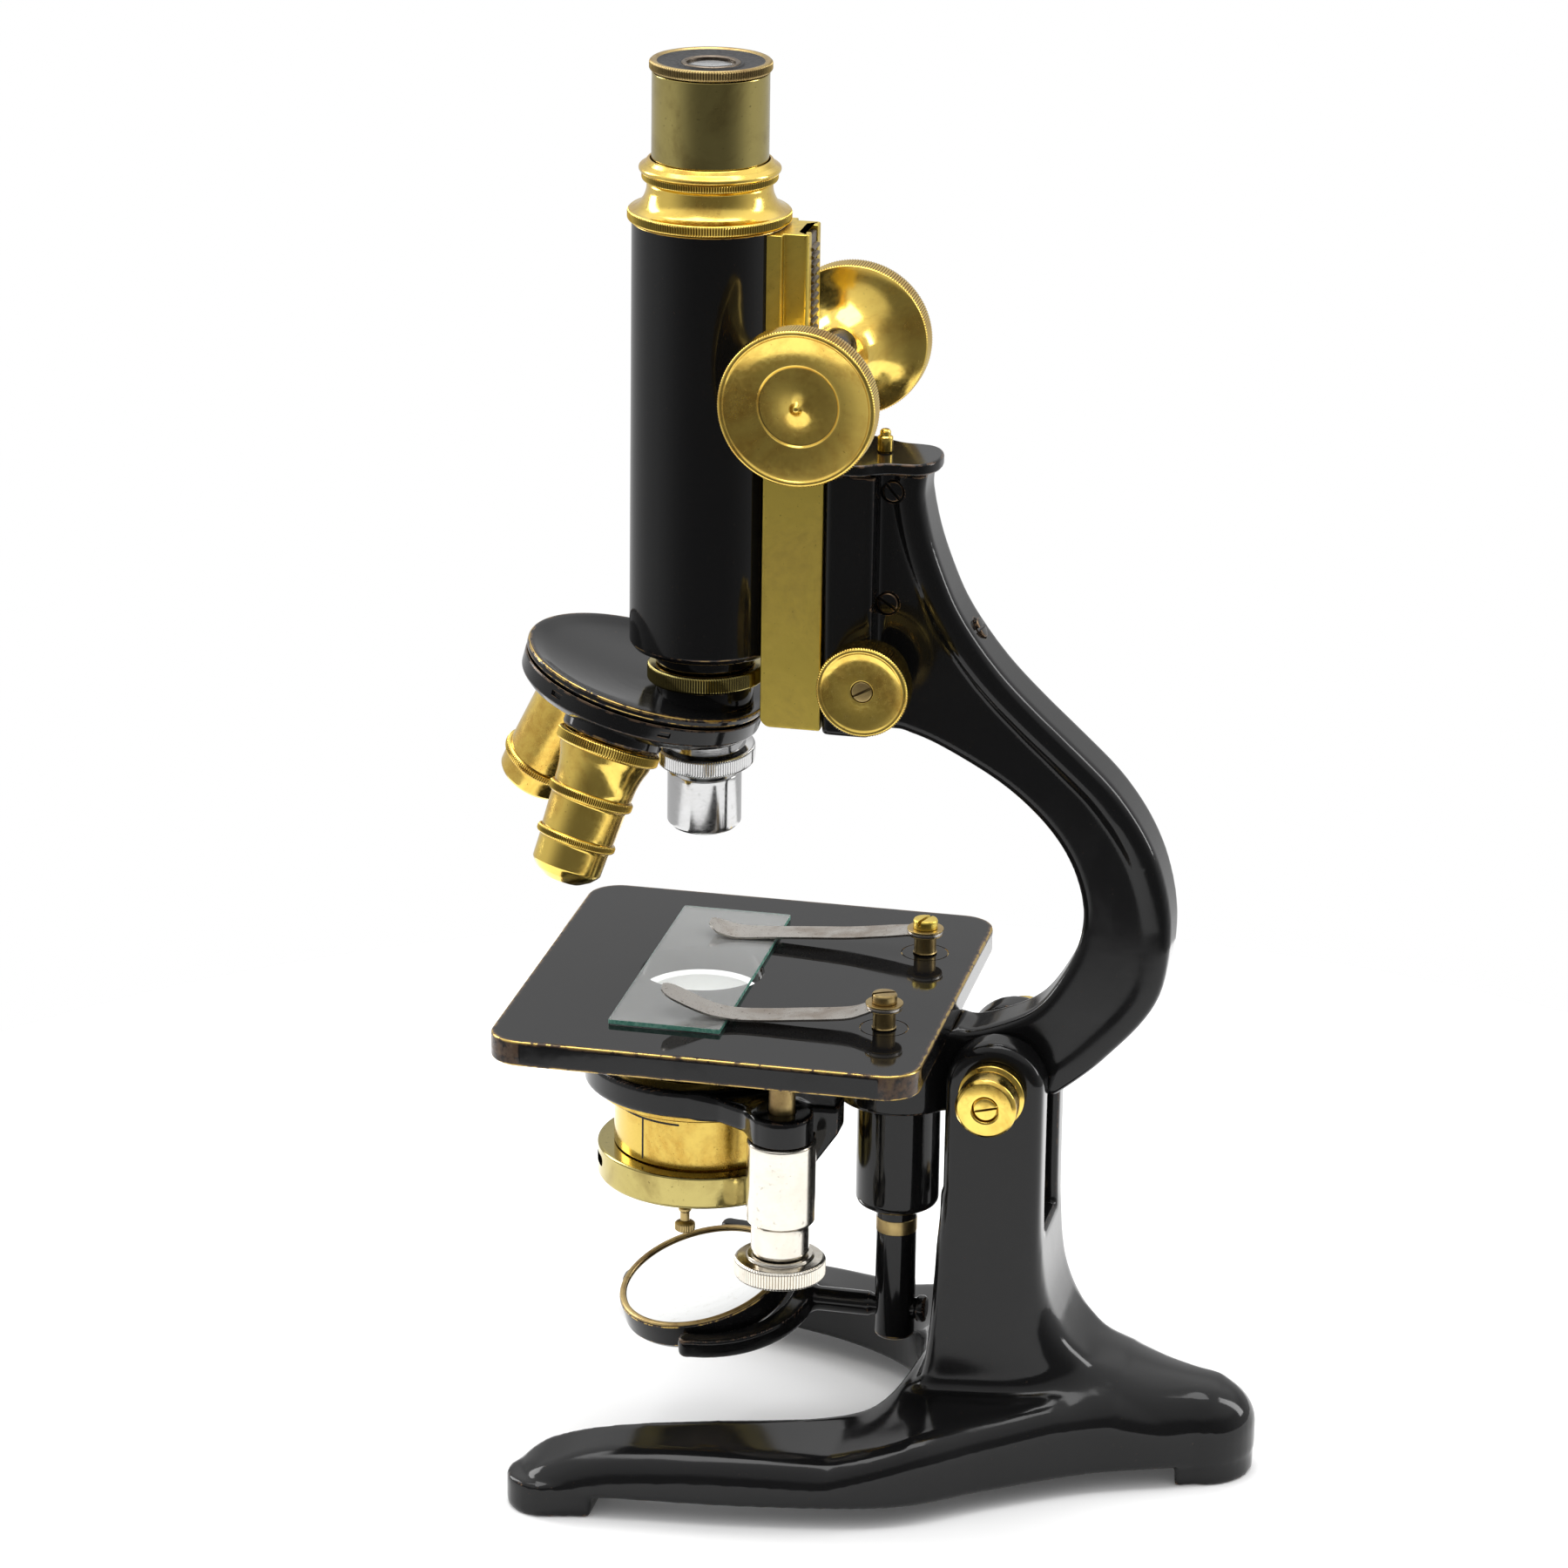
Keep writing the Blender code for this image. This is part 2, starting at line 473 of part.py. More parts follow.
def make_coarse_focus(fine_slide):
    frame = empty("coarse_focus_axis", at(PINION_X, 0, PINION_Z), fine_slide)
    axle = at(PINION_X, 0, PINION_Z) @ ALONG_Y
    shaft = rod("pinion_shaft", 2.25, -COARSE_RIM_IN + 2, COARSE_RIM_IN - 2, STEEL, axle, parent=frame)
    outline = gear_outline(PINION_TEETH, PINION_RADIUS - 0.5, PINION_RADIUS + 0.35, 0.62)
    pitch_turn = Matrix.Rotation(math.pi / PINION_TEETH, 4, "Z")
    join(shaft, prism("pinion_teeth", outline, -3.1, 3.1, None, axle @ pitch_turn))
    rim, face = COARSE_RIM_IN, COARSE_RIM_OUT
    for side, turn in (("near", TOWARDS_NEAR), ("far", ALONG_Y)):
        matrix = at(PINION_X, 0, PINION_Z) @ turn
        neck = smooth_curve([(5.2, 16.5), (7.0, 20.5), (11.2, 24.6), (16.6, rim)], 2)
        profile = [(0, face - 0.1), (1.1, face - 0.4), (2.8, face - 1.8), (3.6, face - 3.0),
                   (9.0, face - 2.6),
                   (9.6, face - 1.9), (16.4, face - 0.2), (17.2, face), (COARSE_RADIUS, face - 0.6),
                   (COARSE_RADIUS, rim + 0.5), (17.2, rim)] + neck[::-1] + [(5.0, 7.3), (0, 7.3)]
        knob = turned(f"coarse_knob_{side}", profile, BRASS, matrix, 30, frame)
        cut(knob, hole(f"coarse_bore_{side}", 2.3, 0, rim - 1.9, matrix))


def make_tube_slide(tube):
    """Brass bar behind the body tube, with its saddle against the tube and the rack let into its back."""
    saddle = box("tube_slide_bar", (14.0, -9.0, 84), (18.6, 9.0, 178.6), BRASS, tube)
    bar = prism("slide_bar_core", rounded_rectangle(17.5, 24.0, -6.8, 6.8, 2.0, 3), 66, 178.6, None,
                at(0, 0, 0))
    cut(join(saddle, bar), hole("saddle_seat", TUBE_RADIUS + GAP, 50, 200, at(0, 0, 0), 40),
        box("rack_groove", (22.1, -3.3, 50), (30, 3.3, 200), None))
    pitch = 2 * math.pi * PINION_RADIUS / PINION_TEETH
    root, tip = PINION_X - PINION_RADIUS - 0.5, PINION_X - PINION_RADIUS + 0.3
    low, high = 67.0, 177.6
    outline = [(22.5, high), (22.5, low), (root, low)]
    first = math.ceil((low - PINION_Z) / pitch) + 1
    last = math.floor((high - PINION_Z) / pitch)
    for i in range(first, last):
        middle = PINION_Z + i * pitch
        outline += [(root, middle - 0.31 * pitch), (tip, middle - 0.13 * pitch),
                    (tip, middle + 0.13 * pitch), (root, middle + 0.31 * pitch)]
    outline.append((root, high))
    side_prism("focus_rack", outline, 3.0, STEEL, tube)


def make_body_tube(tube):
    axis = at(0, 0, 0)
    inner = TUBE_RADIUS - TUBE_WALL
    turned("body_tube", [(inner, TUBE_TOP_Z), (TUBE_RADIUS, TUBE_TOP_Z), (TUBE_RADIUS, TUBE_BOTTOM_Z + 1.2),
                         (TUBE_RADIUS - 1.2, TUBE_BOTTOM_Z), (11.4, TUBE_BOTTOM_Z), (11.4, 76.3),
                         (9.2, 76.3),
                         (9.2, TUBE_BOTTOM_Z + 2), (inner, TUBE_BOTTOM_Z + 2)], BLACK, axis, 32, tube)
    rim = TUBE_TOP_Z + GAP
    flare = [(16.9, rim + 2.3), (15.4, rim + 3.2), (14.5, rim + 5.0), (14.1, rim + 7.4)]
    turned("bell_cap", [(DRAW_RADIUS + 0.3, rim + 8.8), (14.0, rim + 8.8)] + flare + [(18.4, rim + 2.0),
                                                                                      (18.4, rim),
                        (inner - GAP, rim), (inner - GAP, rim - 5), (14.2, rim - 5),
                                                                                      (DRAW_RADIUS + 0.3,
                                                                                       rim)],
           BRASS, axis, 30, tube)
    base = rim + 8.8 + GAP
    turned("draw_tube_collar", [(DRAW_RADIUS + 0.3, base + 4.8), (DRAW_RADIUS + 0.7, base + 4.8),
                                (15.3, base + 3.4),
                                (15.8, base + 3.0), (15.8, base + 2.0), (15.1, base + 1.8), (15.1, base),
                                (DRAW_RADIUS + 0.3, base)], BRASS, axis, 30, tube)
    turned("nosepiece_ring", [(9.4, 75.9), (12.9, 75.9), (13.3, 75.4), (13.3, 72.2), (12.9, 71.7),
                              (9.4, 71.7)],
           DARK_BRASS, axis, 30, tube)


def make_draw_tube(tube):
    draw = empty("draw_tube_axis", at(0, 0, DRAW_TOP_Z), tube)
    axis = at(0, 0, 0)
    inner = DRAW_RADIUS - DRAW_WALL
    turned("draw_tube", [(inner, DRAW_TOP_Z), (DRAW_RADIUS, DRAW_TOP_Z), (DRAW_RADIUS, 112), (inner, 112)],
           BRASS, axis, 28, draw)
    eye = empty("eyepiece_axis", at(0, 0, DRAW_TOP_Z), draw)
    top = DRAW_TOP_Z + 2.7
    turned("eyepiece_cap", [(6.6, top - 1.3), (11.6, top - 0.5), (12.3, top), (13.3, top),
                            (13.7, top - 0.4),
                            (13.7, DRAW_TOP_Z + 0.7), (13.3, DRAW_TOP_Z + GAP), (6.6, DRAW_TOP_Z + GAP)],
           DARK_BRASS, axis, 28, eye)
    turned("eyepiece_tube", [(10.6, DRAW_TOP_Z), (inner - 0.1, DRAW_TOP_Z), (inner - 0.1, 166),
                             (10.6, 166)],
           BRASS, axis, SEGMENTS, eye)
    turned("eye_lens", [(0, top - 0.9), (3.5, top - 1.1), (6.3, top - 1.7), (6.3, top - 2.3),
                        (0, top - 2.4)],
           GLASS, axis, 20, eye)
    turned("field_lens", [(0, 170.4), (6, 169.8), (10.3, 168.2), (10.3, 167), (0, 167)], GLASS, axis, 20,
           eye)


def nose_matrix():
    """Frame of the revolving plate: origin at the middle of its rim plane, +Z up its leaning axis."""
    return at(NOSE_X, 0, NOSE_Z) @ Matrix.Rotation(NOSE_TILT, 4, "Y")


def station_matrix(angle):
    """Frame of an objective turned by the angle about the plate's axis from the place on the optical axis."""
    nose = nose_matrix()
    on_axis = Matrix.Translation(nose @ Vector((STATION_RADIUS * MM, 0, 0)))
    return nose @ Matrix.Rotation(angle, 4, "Z") @ nose.inverted() @ on_axis


def make_nosepiece(tube):
    nose = nose_matrix()
    radius = NOSE_RADIUS
    dish = turned("nosepiece_dish", [(0, -3.6), (9, -3.2), (18, -2.2), (25, -0.9), (27.2, -0.2),
                                     (radius - 0.3, 0),
                                     (radius, -0.4), (radius, -1.8), (radius - 3, -5.2), (0, -5.2)],
                  BLACK, nose, 32, tube)
    hub = turned("dish_hub", [(0, 71.4), (11.1, 71.4), (11.1, 66.5), (0, 66.5)], None, at(0, 0, 0))
    underside = turned("dish_underside", [(0, -5.1), (radius - 3, -5.1), (radius, -1.6), (radius * 2, -1.6),
                                          (radius * 2, -40), (0, -40)], None, nose, 32)
    cut(join(dish, hub), underside, hole("dish_light_hole", 8.0, 40, 90, at(0, 0, 0), 18),
        hole("dish_pivot_hole", 2.2, -10, 10, nose))
    revolver = empty("revolver_axis", nose, tube)
    plate = turned("revolver_plate", [(0, -5.5), (radius - 3.2, -5.5), (radius - 1.2, -3.2),
                                      (radius - 0.1, -2.6),
                                      (radius - 0.1, -6.6), (radius - 1.6, -8.4), (22, -10.2), (8, -13.6),
                                      (0, -14)],
                   BLACK, nose, 32, revolver)
    for i in range(3):
        matrix = station_matrix(NOSE_TURN + i * 2 * math.pi / 3)
        join(plate, rod(f"plate_boss_{i}", 11.6, -SEAT_DEPTH, -8.6, None, matrix, 18))
    for i in range(3):
        matrix = station_matrix(NOSE_TURN + i * 2 * math.pi / 3)
        cut(plate, hole(f"plate_bore_{i}", 8.25, -30, 5, matrix, 20))
    cut(plate, hole("plate_pivot_hole", 2.2, -30, 5, nose))
    turned("revolver_pivot_screw", [(0, -17.2), (3.4, -17.0), (3.9, -16.2), (3.9, -14.3), (2.0, -14.3),
                                    (2.0, -4.2),
                                    (0, -4.2)][::-1], DARK_BRASS, nose, SMALL_SEGMENTS, tube)
    make_objectives(revolver)


def make_objectives(revolver):
    """Each is turned about its own axis, with its shoulder on the plate's seat and its tip pointing down."""
    seat = -SEAT_DEPTH - GAP
    thread = [(5.2, seat + 4), (7.9, seat + 4), (7.9, seat)]
    long_brass = thread + [(11.6, seat), (12.0, seat - 0.4), (12.0, seat - 2.6), (11.5, seat - 3.0),
                           (10.2, seat - 5.2), (9.2, seat - 9.4), (9.2, seat - 12.4), (9.8, seat - 12.8),
                           (9.8, seat - 14.5), (9.2, seat - 14.8), (8.6, seat - 22.8), (9.2, seat - 23.1),
                           (9.2, seat - 24.7), (8.4, seat - 25), (8.1, seat - 31), (6.6, seat - 32.6),
                           (4.4, seat - 34), (2.4, seat - 34), (2.4, seat - 30), (5.2, seat - 28)]
    short_brass = thread + [(11.0, seat), (11.3, seat - 0.4), (11.3, seat - 2.6), (9.6, seat - 3),
                            (9.2, seat - 21.4), (9.9, seat - 21.7), (9.9, seat - 23.3), (9.5, seat - 23.6),
                            (9.1, seat - 28), (4.2, seat - 28.9), (2.8, seat - 28.9), (2.8, seat - 27),
                            (5.2, seat - 25)]
    chrome = thread + [(9.4, seat), (9.4, seat - 2.8), (11.7, seat - 3.3), (11.7, seat - 7.1),
                       (11.3, seat - 7.6), (7.8, seat - 7.8), (7.8, seat - 9.2), (8.6, seat - 9.6),
                       (8.6, seat - 22.9), (8.2, seat - 23.3), (4.0, seat - 23.3), (4.0, seat - 21.8),
                       (5.2, seat - 20.5)]
    for name, i, profile, finish in (("objective_chrome", 0, chrome, CHROME),
                                     ("objective_short", 1, short_brass, BRASS),
                                     ("objective_long", 2, long_brass, BRASS)):
        turned(name, profile, finish, station_matrix(NOSE_TURN + i * 2 * math.pi / 3), 20, revolver)


def make_stage(limb):
    plate = prism("stage_plate", rounded_rectangle(STAGE_FRONT_X, STAGE_BACK_X, -STAGE_HALF_WIDTH,
                                                   STAGE_HALF_WIDTH,
                                                   STAGE_CORNER), -STAGE_THICKNESS, 0, BLACK, at(0, 0, 0),
                  limb)
    cut(plate, hole("stage_aperture", APERTURE_RADIUS, -20, 20, at(0, 0, 0), 40))
    for side, y in (("near", -CLIP_Y), ("far", CLIP_Y)):
        spot = at(CLIP_X, y, 0)
        cut(plate, hole(f"stage_post_hole_{side}", 2.3, -20, 20, spot))
        post = turned(f"clip_post_{side}", [(0, 4.6), (2.6, 4.6), (2.6, GAP), (2.0, GAP), (2.0, -5.6),
                                            (0, -5.6)],
                      BRASS, spot, SMALL_SEGMENTS, limb)
        cut(post, hole(f"post_thread_{side}", 1.5, 1.5, 8, spot))
        head = turned(f"clip_screw_{side}", [(0, 8.7), (2.5, 8.7), (2.9, 8.3), (2.9, 5.9), (1.3, 5.9),
                                             (1.3, 2.0), (0, 2.0)],
                      BRASS, spot, SMALL_SEGMENTS, limb)
        turn = Matrix.Rotation(0.45, 4, "Z")
        cut(head, prism(f"clip_slot_{side}", rounded_rectangle(-4, 4, -0.4, 0.4, 0.1, 1), 7.5, 12, None,
                        spot @ turn))
    rod("substage_rod", 3.05, -44, -STAGE_THICKNESS - GAP, STEEL, at(POST_X, POST_Y, 0), parent=limb)
    make_clips(limb)
    frame = empty("slide_shift", at(0, 0, 0), limb)
    prism("glass_slide", rounded_rectangle(-SLIDE_WIDTH / 2 + 0.6, SLIDE_WIDTH / 2 + 0.6, -SLIDE_LENGTH / 2,
                                           SLIDE_LENGTH / 2, 0.4, 1),
          GAP * 0.5, GAP * 0.5 + SLIDE_THICKNESS, GLASS, at(0, 0, 0), frame)


def clip_outline():
    """Side view of a spring clip from its ring over the post to its turned-up tip, top line then bottom."""
    top = smooth_curve([(-2.6, 5.6), (4, 5.6), (12, 5.0), (24, 3.1), (36, 2.15), (46, 2.05), (51, 2.7),
                        (56.5, 4.6)], 2)
    bottom = [(x, z - 0.55) for x, z in reversed(top)]
    return top + bottom


def make_clips(limb):
    for side, y, turn in (("near", -CLIP_Y, 170.0), ("far", CLIP_Y, 184.0)):
        spot = at(CLIP_X, y, 0)
        frame = empty(f"clip_axis_{side}", spot, limb)
        matrix = spot @ Matrix.Rotation(math.radians(turn), 4, "Z")
        clip = prism(f"stage_clip_{side}", clip_outline(), -3.6, 3.6, STEEL, matrix @ TOWARDS_NEAR, frame)
        ring = turned(f"clip_ring_{side}", [(0, 5.75), (4.2, 5.75), (4.2, 4.95), (0, 4.95)], None, matrix,
                      24)
        cut(join(clip, ring), hole(f"clip_hole_{side}", 1.7, 0, 10, matrix))


def make_substage(limb):
    """Ring arm on the nickel sleeve, carrying the condenser; the milled knob below raises it on the rod."""
    sub = empty("substage_slide", at(POST_X, POST_Y, 0), limb)
    axis = at(0, 0, 0)
    ring = turned("substage_arm", [(21.6, RING_TOP_Z), (RING_RADIUS - 0.8, RING_TOP_Z),
                                   (RING_RADIUS, RING_TOP_Z - 0.8),
                                   (RING_RADIUS, RING_BOTTOM_Z), (21.6, RING_BOTTOM_Z)], BLACK, axis, 30,
                  sub)
    span = Vector((POST_X, POST_Y))
    along = span.normalized()
    across = Vector((-along.y, along.x))
    edges = [along * 24.6 + across * 13, along * 24.6 - across * 13, along * 30 - across * 9.4,
             along * 36 - across * 7.2, span - across * 6.4, span + across * 6.4, along * 36 + across * 7.2,
             along * 30 + across * 9.4]
    arm = prism("substage_web", [tuple(p) for p in edges], RING_BOTTOM_Z + 0.4, RING_TOP_Z - 0.4, None,
                axis)
    collar = rod("substage_collar", 7.1, -26.6, RING_TOP_Z, None, at(POST_X, POST_Y, 0), 32)
    gusset = side_gusset()
    cut(join(ring, arm, collar, gusset), hole("arm_rod_hole", 3.4, -40, 0, at(POST_X, POST_Y, 0)),
        hole("arm_sleeve_hole", 8.6, -60, -26.7, at(POST_X, POST_Y, 0)))
    turned("condenser_barrel", [(18.6, -12), (21.3, -12), (21.3, -26.5), (25.0, -26.5), (25.0, -28.1),
                                (20.4, -28.1),
                                (20.4, -41.8), (18.6, -41.8)], BRASS, axis, 30, sub)
    turned("condenser_lens", [(0, -9.2), (6, -10), (13, -13), (18.3, -13.2), (18.3, -16), (0, -16)], GLASS,
           axis, 20, sub)
    turned("condenser_base_ring", [(16.5, -42.1), (24.3, -42.1), (24.3, -49.5), (23.8, -50.0),
                                   (22.9, -50.0),
                                   (22.9, -48.6), (16.5, -48.6)], BRASS, axis, 30, sub)
    turned("iris_plate", [(4.5, -45), (16.2, -45), (16.2, -45.8), (4.5, -45.8)], STEEL, axis, 20, sub)
    iris = empty("iris_axis", axis, sub)
    turned("iris_pin", [(0, -48.9), (1.1, -48.9), (1.1, -54.6), (2.4, -54.9), (2.4, -57.2),
                        (0, -57.4)][::-1],
           DARK_BRASS, at(0.9, -19.8, 0), SMALL_SEGMENTS, iris)
    post = at(POST_X, POST_Y, 0)
    turned("substage_sleeve", [(3.4, -26.9), (7.7, -26.9), (8.0, -27.3), (8.0, -46.8), (6.75, -48.0),
                               (6.75, -54.9),
                               (3.4, -54.9)], NICKEL, post, SEGMENTS, sub)
    knob = empty("substage_knob_axis", post, sub)
    turned("substage_knob", [(0, -55.2), (7.6, -55.2), (7.6, -56.0), (10.2, -56.0), (10.6, -56.4),
                             (10.6, -60.3),
                             (10.2, -60.7), (0, -60.7)], NICKEL, post, 26, knob)


def side_gusset():
    """Sloping web between the arm and its collar, on the limb's side."""
    outline = [(24, -20.5), (38, -20.5), (38, -27), (32, -36), (24, -36)]
    return prism("substage_gusset", outline, 17.6, 25.5, None, at(0, 0, 0) @ TOWARDS_NEAR)


def make_mirror(limb):
    tail = empty("tail_axis", at(TAIL_X, 0, 0), limb)
    tail_rod = rod("tail_rod", TAIL_ROD_RADIUS, TAIL_ROD_BOTTOM_Z, -30, BLACK, at(TAIL_X, 0, 0), 32, tail)
    cut(tail_rod, hole("tail_cross_hole", 2.75, -10, 10, at(TAIL_X, 0, MIRROR_Z) @ ALONG_X))
    centre = at(MIRROR_X, 0, MIRROR_Z) @ Matrix.Rotation(MIRROR_ROLL, 4, "X")
    roll = empty("mirror_roll_axis", centre, tail)
    inner, outer, half_height = MIRROR_RADIUS + 0.9, MIRROR_RADIUS + 3.4, 2.5
    half_ring = arc(0, 0, outer, -93, 93, 16) + arc(0, 0, inner, 93, -93, 16)
    fork = prism("mirror_fork", half_ring, -half_height, half_height, BLACK, centre, roll)
    arm_length = TAIL_X - MIRROR_X
    neck = rod("fork_neck", 2.4, inner + 1, arm_length + 7.4, None, centre @ ALONG_X)
    shoulder = turned("fork_shoulder", [(0, arm_length - 5.4), (2.9, arm_length - 5.4), (2.9, inner + 1),
                                        (0, inner + 1)],
                      None, centre @ ALONG_X, SMALL_SEGMENTS)
    nut = rod("fork_nut", 3.0, arm_length + 5.4, arm_length + 7.4, None, centre @ ALONG_X)
    join(fork, neck, shoulder, nut)
    lean = centre @ Matrix.Rotation(MIRROR_LEAN, 4, "Y")
    tilt = empty("mirror_tilt_axis", lean, roll)
    radius = MIRROR_RADIUS
    cell = turned("mirror_cell", [(radius - 1.2, 2.6), (radius - 1.0, 3.4), (radius - 0.3, 3.6),
                                  (radius, 3.0), (radius, -3.0),
                                  (radius - 0.8, -3.6), (0, -3.6), (0, 0.6), (radius - 1.2, 0.6)], BLACK,
                  lean, 30, tilt)
    for side in (-1, 1):
        pin = rod(f"cell_pin_{side}", 1.2, radius - 0.9, inner + 1.3, None,
                  lean @ Matrix.Rotation(math.radians(-90 * side), 4, "X"), 12)
        join(cell, pin)
        cut(fork, hole(f"fork_pin_hole_{side}", 1.5, radius - 2, inner + 1.8,
                       centre @ Matrix.Rotation(math.radians(-90 * side), 4, "X")))
    turned("mirror_glass", [(0, 3.0), (radius - 1.6, 3.0), (radius - 1.6, 0.9), (0, 0.9)], MIRROR, lean, 30,
           tilt)


def make_microscope():
    clear_scene()
    make_foot()
    make_inclination_joint()
    limb = empty("inclination_axis", at(PIVOT_X, 0, PIVOT_Z))
    make_limb(limb)
    make_stage(limb)
    make_fine_focus(limb)
    fine_slide = empty("fine_slide", at(GUIDE_FRONT_X, 0, FINE_Z), limb)
    make_slide_block(fine_slide)
    make_coarse_focus(fine_slide)
    tube = empty("coarse_slide", at(0, 0, 0), fine_slide)
    make_tube_slide(tube)
    make_body_tube(tube)
    make_draw_tube(tube)
    make_nosepiece(tube)
    make_substage(limb)
    make_mirror(limb)


make_microscope()
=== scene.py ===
"""Looks of a monocular compound microscope: black enamel castings with brass, nickel and steel fittings.

Lengths in the tables are in millimetres: X from the optical axis towards the limb, Y to the far side, Z up
from the top of the stage. Angles of azimuth are in degrees from X towards Y.
"""
import json
import math

import bmesh
import bpy
import numpy as np
from mathutils import Matrix, Vector


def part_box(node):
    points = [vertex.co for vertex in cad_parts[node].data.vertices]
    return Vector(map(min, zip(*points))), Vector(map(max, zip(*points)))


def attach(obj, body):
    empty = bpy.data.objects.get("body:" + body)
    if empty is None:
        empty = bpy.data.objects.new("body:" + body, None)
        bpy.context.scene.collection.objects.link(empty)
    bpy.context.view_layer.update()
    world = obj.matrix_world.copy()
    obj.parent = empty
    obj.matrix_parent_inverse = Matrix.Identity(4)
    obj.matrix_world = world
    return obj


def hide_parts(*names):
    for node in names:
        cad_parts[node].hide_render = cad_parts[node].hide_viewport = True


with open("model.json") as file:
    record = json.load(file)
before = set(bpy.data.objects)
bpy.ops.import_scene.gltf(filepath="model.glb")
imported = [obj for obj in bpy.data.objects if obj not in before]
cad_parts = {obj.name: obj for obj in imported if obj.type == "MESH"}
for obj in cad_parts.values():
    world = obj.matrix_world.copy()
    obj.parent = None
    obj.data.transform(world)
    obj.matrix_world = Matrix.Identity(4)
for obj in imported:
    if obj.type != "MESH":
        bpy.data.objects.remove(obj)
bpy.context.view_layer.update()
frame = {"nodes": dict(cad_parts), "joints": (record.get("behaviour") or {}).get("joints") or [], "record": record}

MM = 0.001
DRAW_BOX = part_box("draw_tube")
AXIS_X = (DRAW_BOX[0].x + DRAW_BOX[1].x) / 2
STAGE_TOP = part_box("stage_plate")[1].z
BEHAVIOUR = frame["record"]["behaviour"]
BODY_OF = {node: body for body, nodes in BEHAVIOUR["bodies"].items() for node in nodes}
JOINTS = {joint["name"]: joint for joint in frame["joints"]}


def place(x, y, z):
    return Vector((AXIS_X + x * MM, y * MM, STAGE_TOP + z * MM))


def at(x, y, z):
    return Matrix.Translation(place(x, y, z))


def raised(distance):
    return Matrix.Translation((0, 0, distance * MM))


def turn(degrees, axis="Z"):
    return Matrix.Rotation(math.radians(degrees), 4, axis)


def joint_point(name):
    """Place of a hinge's axis in the millimetre frame of the tables."""
    x, y, z = JOINTS[name]["pos_m"]
    return Vector(((x - AXIS_X) / MM, y / MM, (z - STAGE_TOP) / MM))


ALONG_Y = turn(-90, "X")  # turns +Z to +Y
TOWARDS_NEAR = turn(90, "X")  # turns +Z to -Y
ALONG_X = turn(90, "Y")  # turns +Z to +X
SIDES = (("near", -1, TOWARDS_NEAR), ("far", 1, ALONG_Y))

AXIS = at(0, 0, 0)  # optical axis, at the top of the stage
FLOOR = -STAGE_TOP / MM
PIVOT = joint_point("inclination")
PINION = joint_point("coarse_focus_turn")
FINE = joint_point("fine_focus_turn")
NOSE = joint_point("revolver_turn")
MIRROR = joint_point("mirror_roll")
TAIL = joint_point("tail_turn")
POST = joint_point("substage_turn")
CLIPS = {side: joint_point(f"clip_{side}_turn") for side in ("near", "far")}
STATIONS = [26 + 120 * i for i in range(3)]  # azimuths of the objectives on the revolving plate

TUBE_RADIUS, DRAW_RADIUS, EYEPIECE_TOP = 17.4, 13.1, 215.3
CHEEK_INNER, CHEEK_OUTER, SLOT_FLOOR = 8.15, 17.3, -53.5
AXLE_HOLE, FOOT_SCREW_X = 4.1, 77
LIMB_HALF_WIDTH, LIMB_TOP = 7.0, 125.4
BOSS_FRONT, FINE_KNOB_FRONT = CHEEK_OUTER + 10.5, 25.5
COARSE_RADIUS, COARSE_RIM, COARSE_FACE = 17.75, 27.2, 33.6
BLOCK_LOW, BLOCK_HIGH, BLOCK_BACK = 65.3, 137.6, 29.3
NOSE_RADIUS, SEAT_DEPTH = 28.3, -13.7
STAGE_SIDES, STAGE_CORNER, STAGE_BOTTOM, STAGE_HOLE = (-38.4, 60.7, -53.4, 51.5), 8.0, -6.0, 14.4
CLIP_X = 48
FORK_INNER, FORK_OUTER, FORK_SHIFT, CELL_RADIUS = 21.4, 25.1, 1.2, 20.5
KNURL = 0.62  # pitch of the milled rims
SHARP = math.radians(42)  # bend from which an edge is shaded as sharp
CAST_STEP = 0.7  # spacing of the grids that the castings are made on
HOLD = 0.8  # reach of the wear beyond a corner

FLOOR_RADIUS = 0.34
FRONT = (0.30, -0.954, 0.0)
TENT_FRONT = (0.0, 0.96), (0.66, 0.155)  # how far it faces front, and how bright it is there
TENT_TOP = (0.36, 0.60), (0.0, 0.5)
CAMERA_PLACE, CAMERA_LENS, SENSOR = (271.66, -1187.395, 474.239), 128.81, 36
CAMERA_TURNS = 12.024, 19.357, 0.83  # azimuth, pitch and roll
LIGHTS = (("overhead_softbox", (-60, 120, 1200), 900, 900, 10),  # name, place, width, height, watts
          ("left_softbox", (-1150, 330, 560), 420, 900, 8),
          ("right_softbox", (1150, 420, 560), 300, 800, 6))
LIGHT_TARGET = (20, 0, 60)

BLACK = (0.0062, 0.0062, 0.0065)
UNDERCOAT = (0.075, 0.045, 0.028)
WORN_BRASS = (0.52, 0.36, 0.11)


# Materials ----

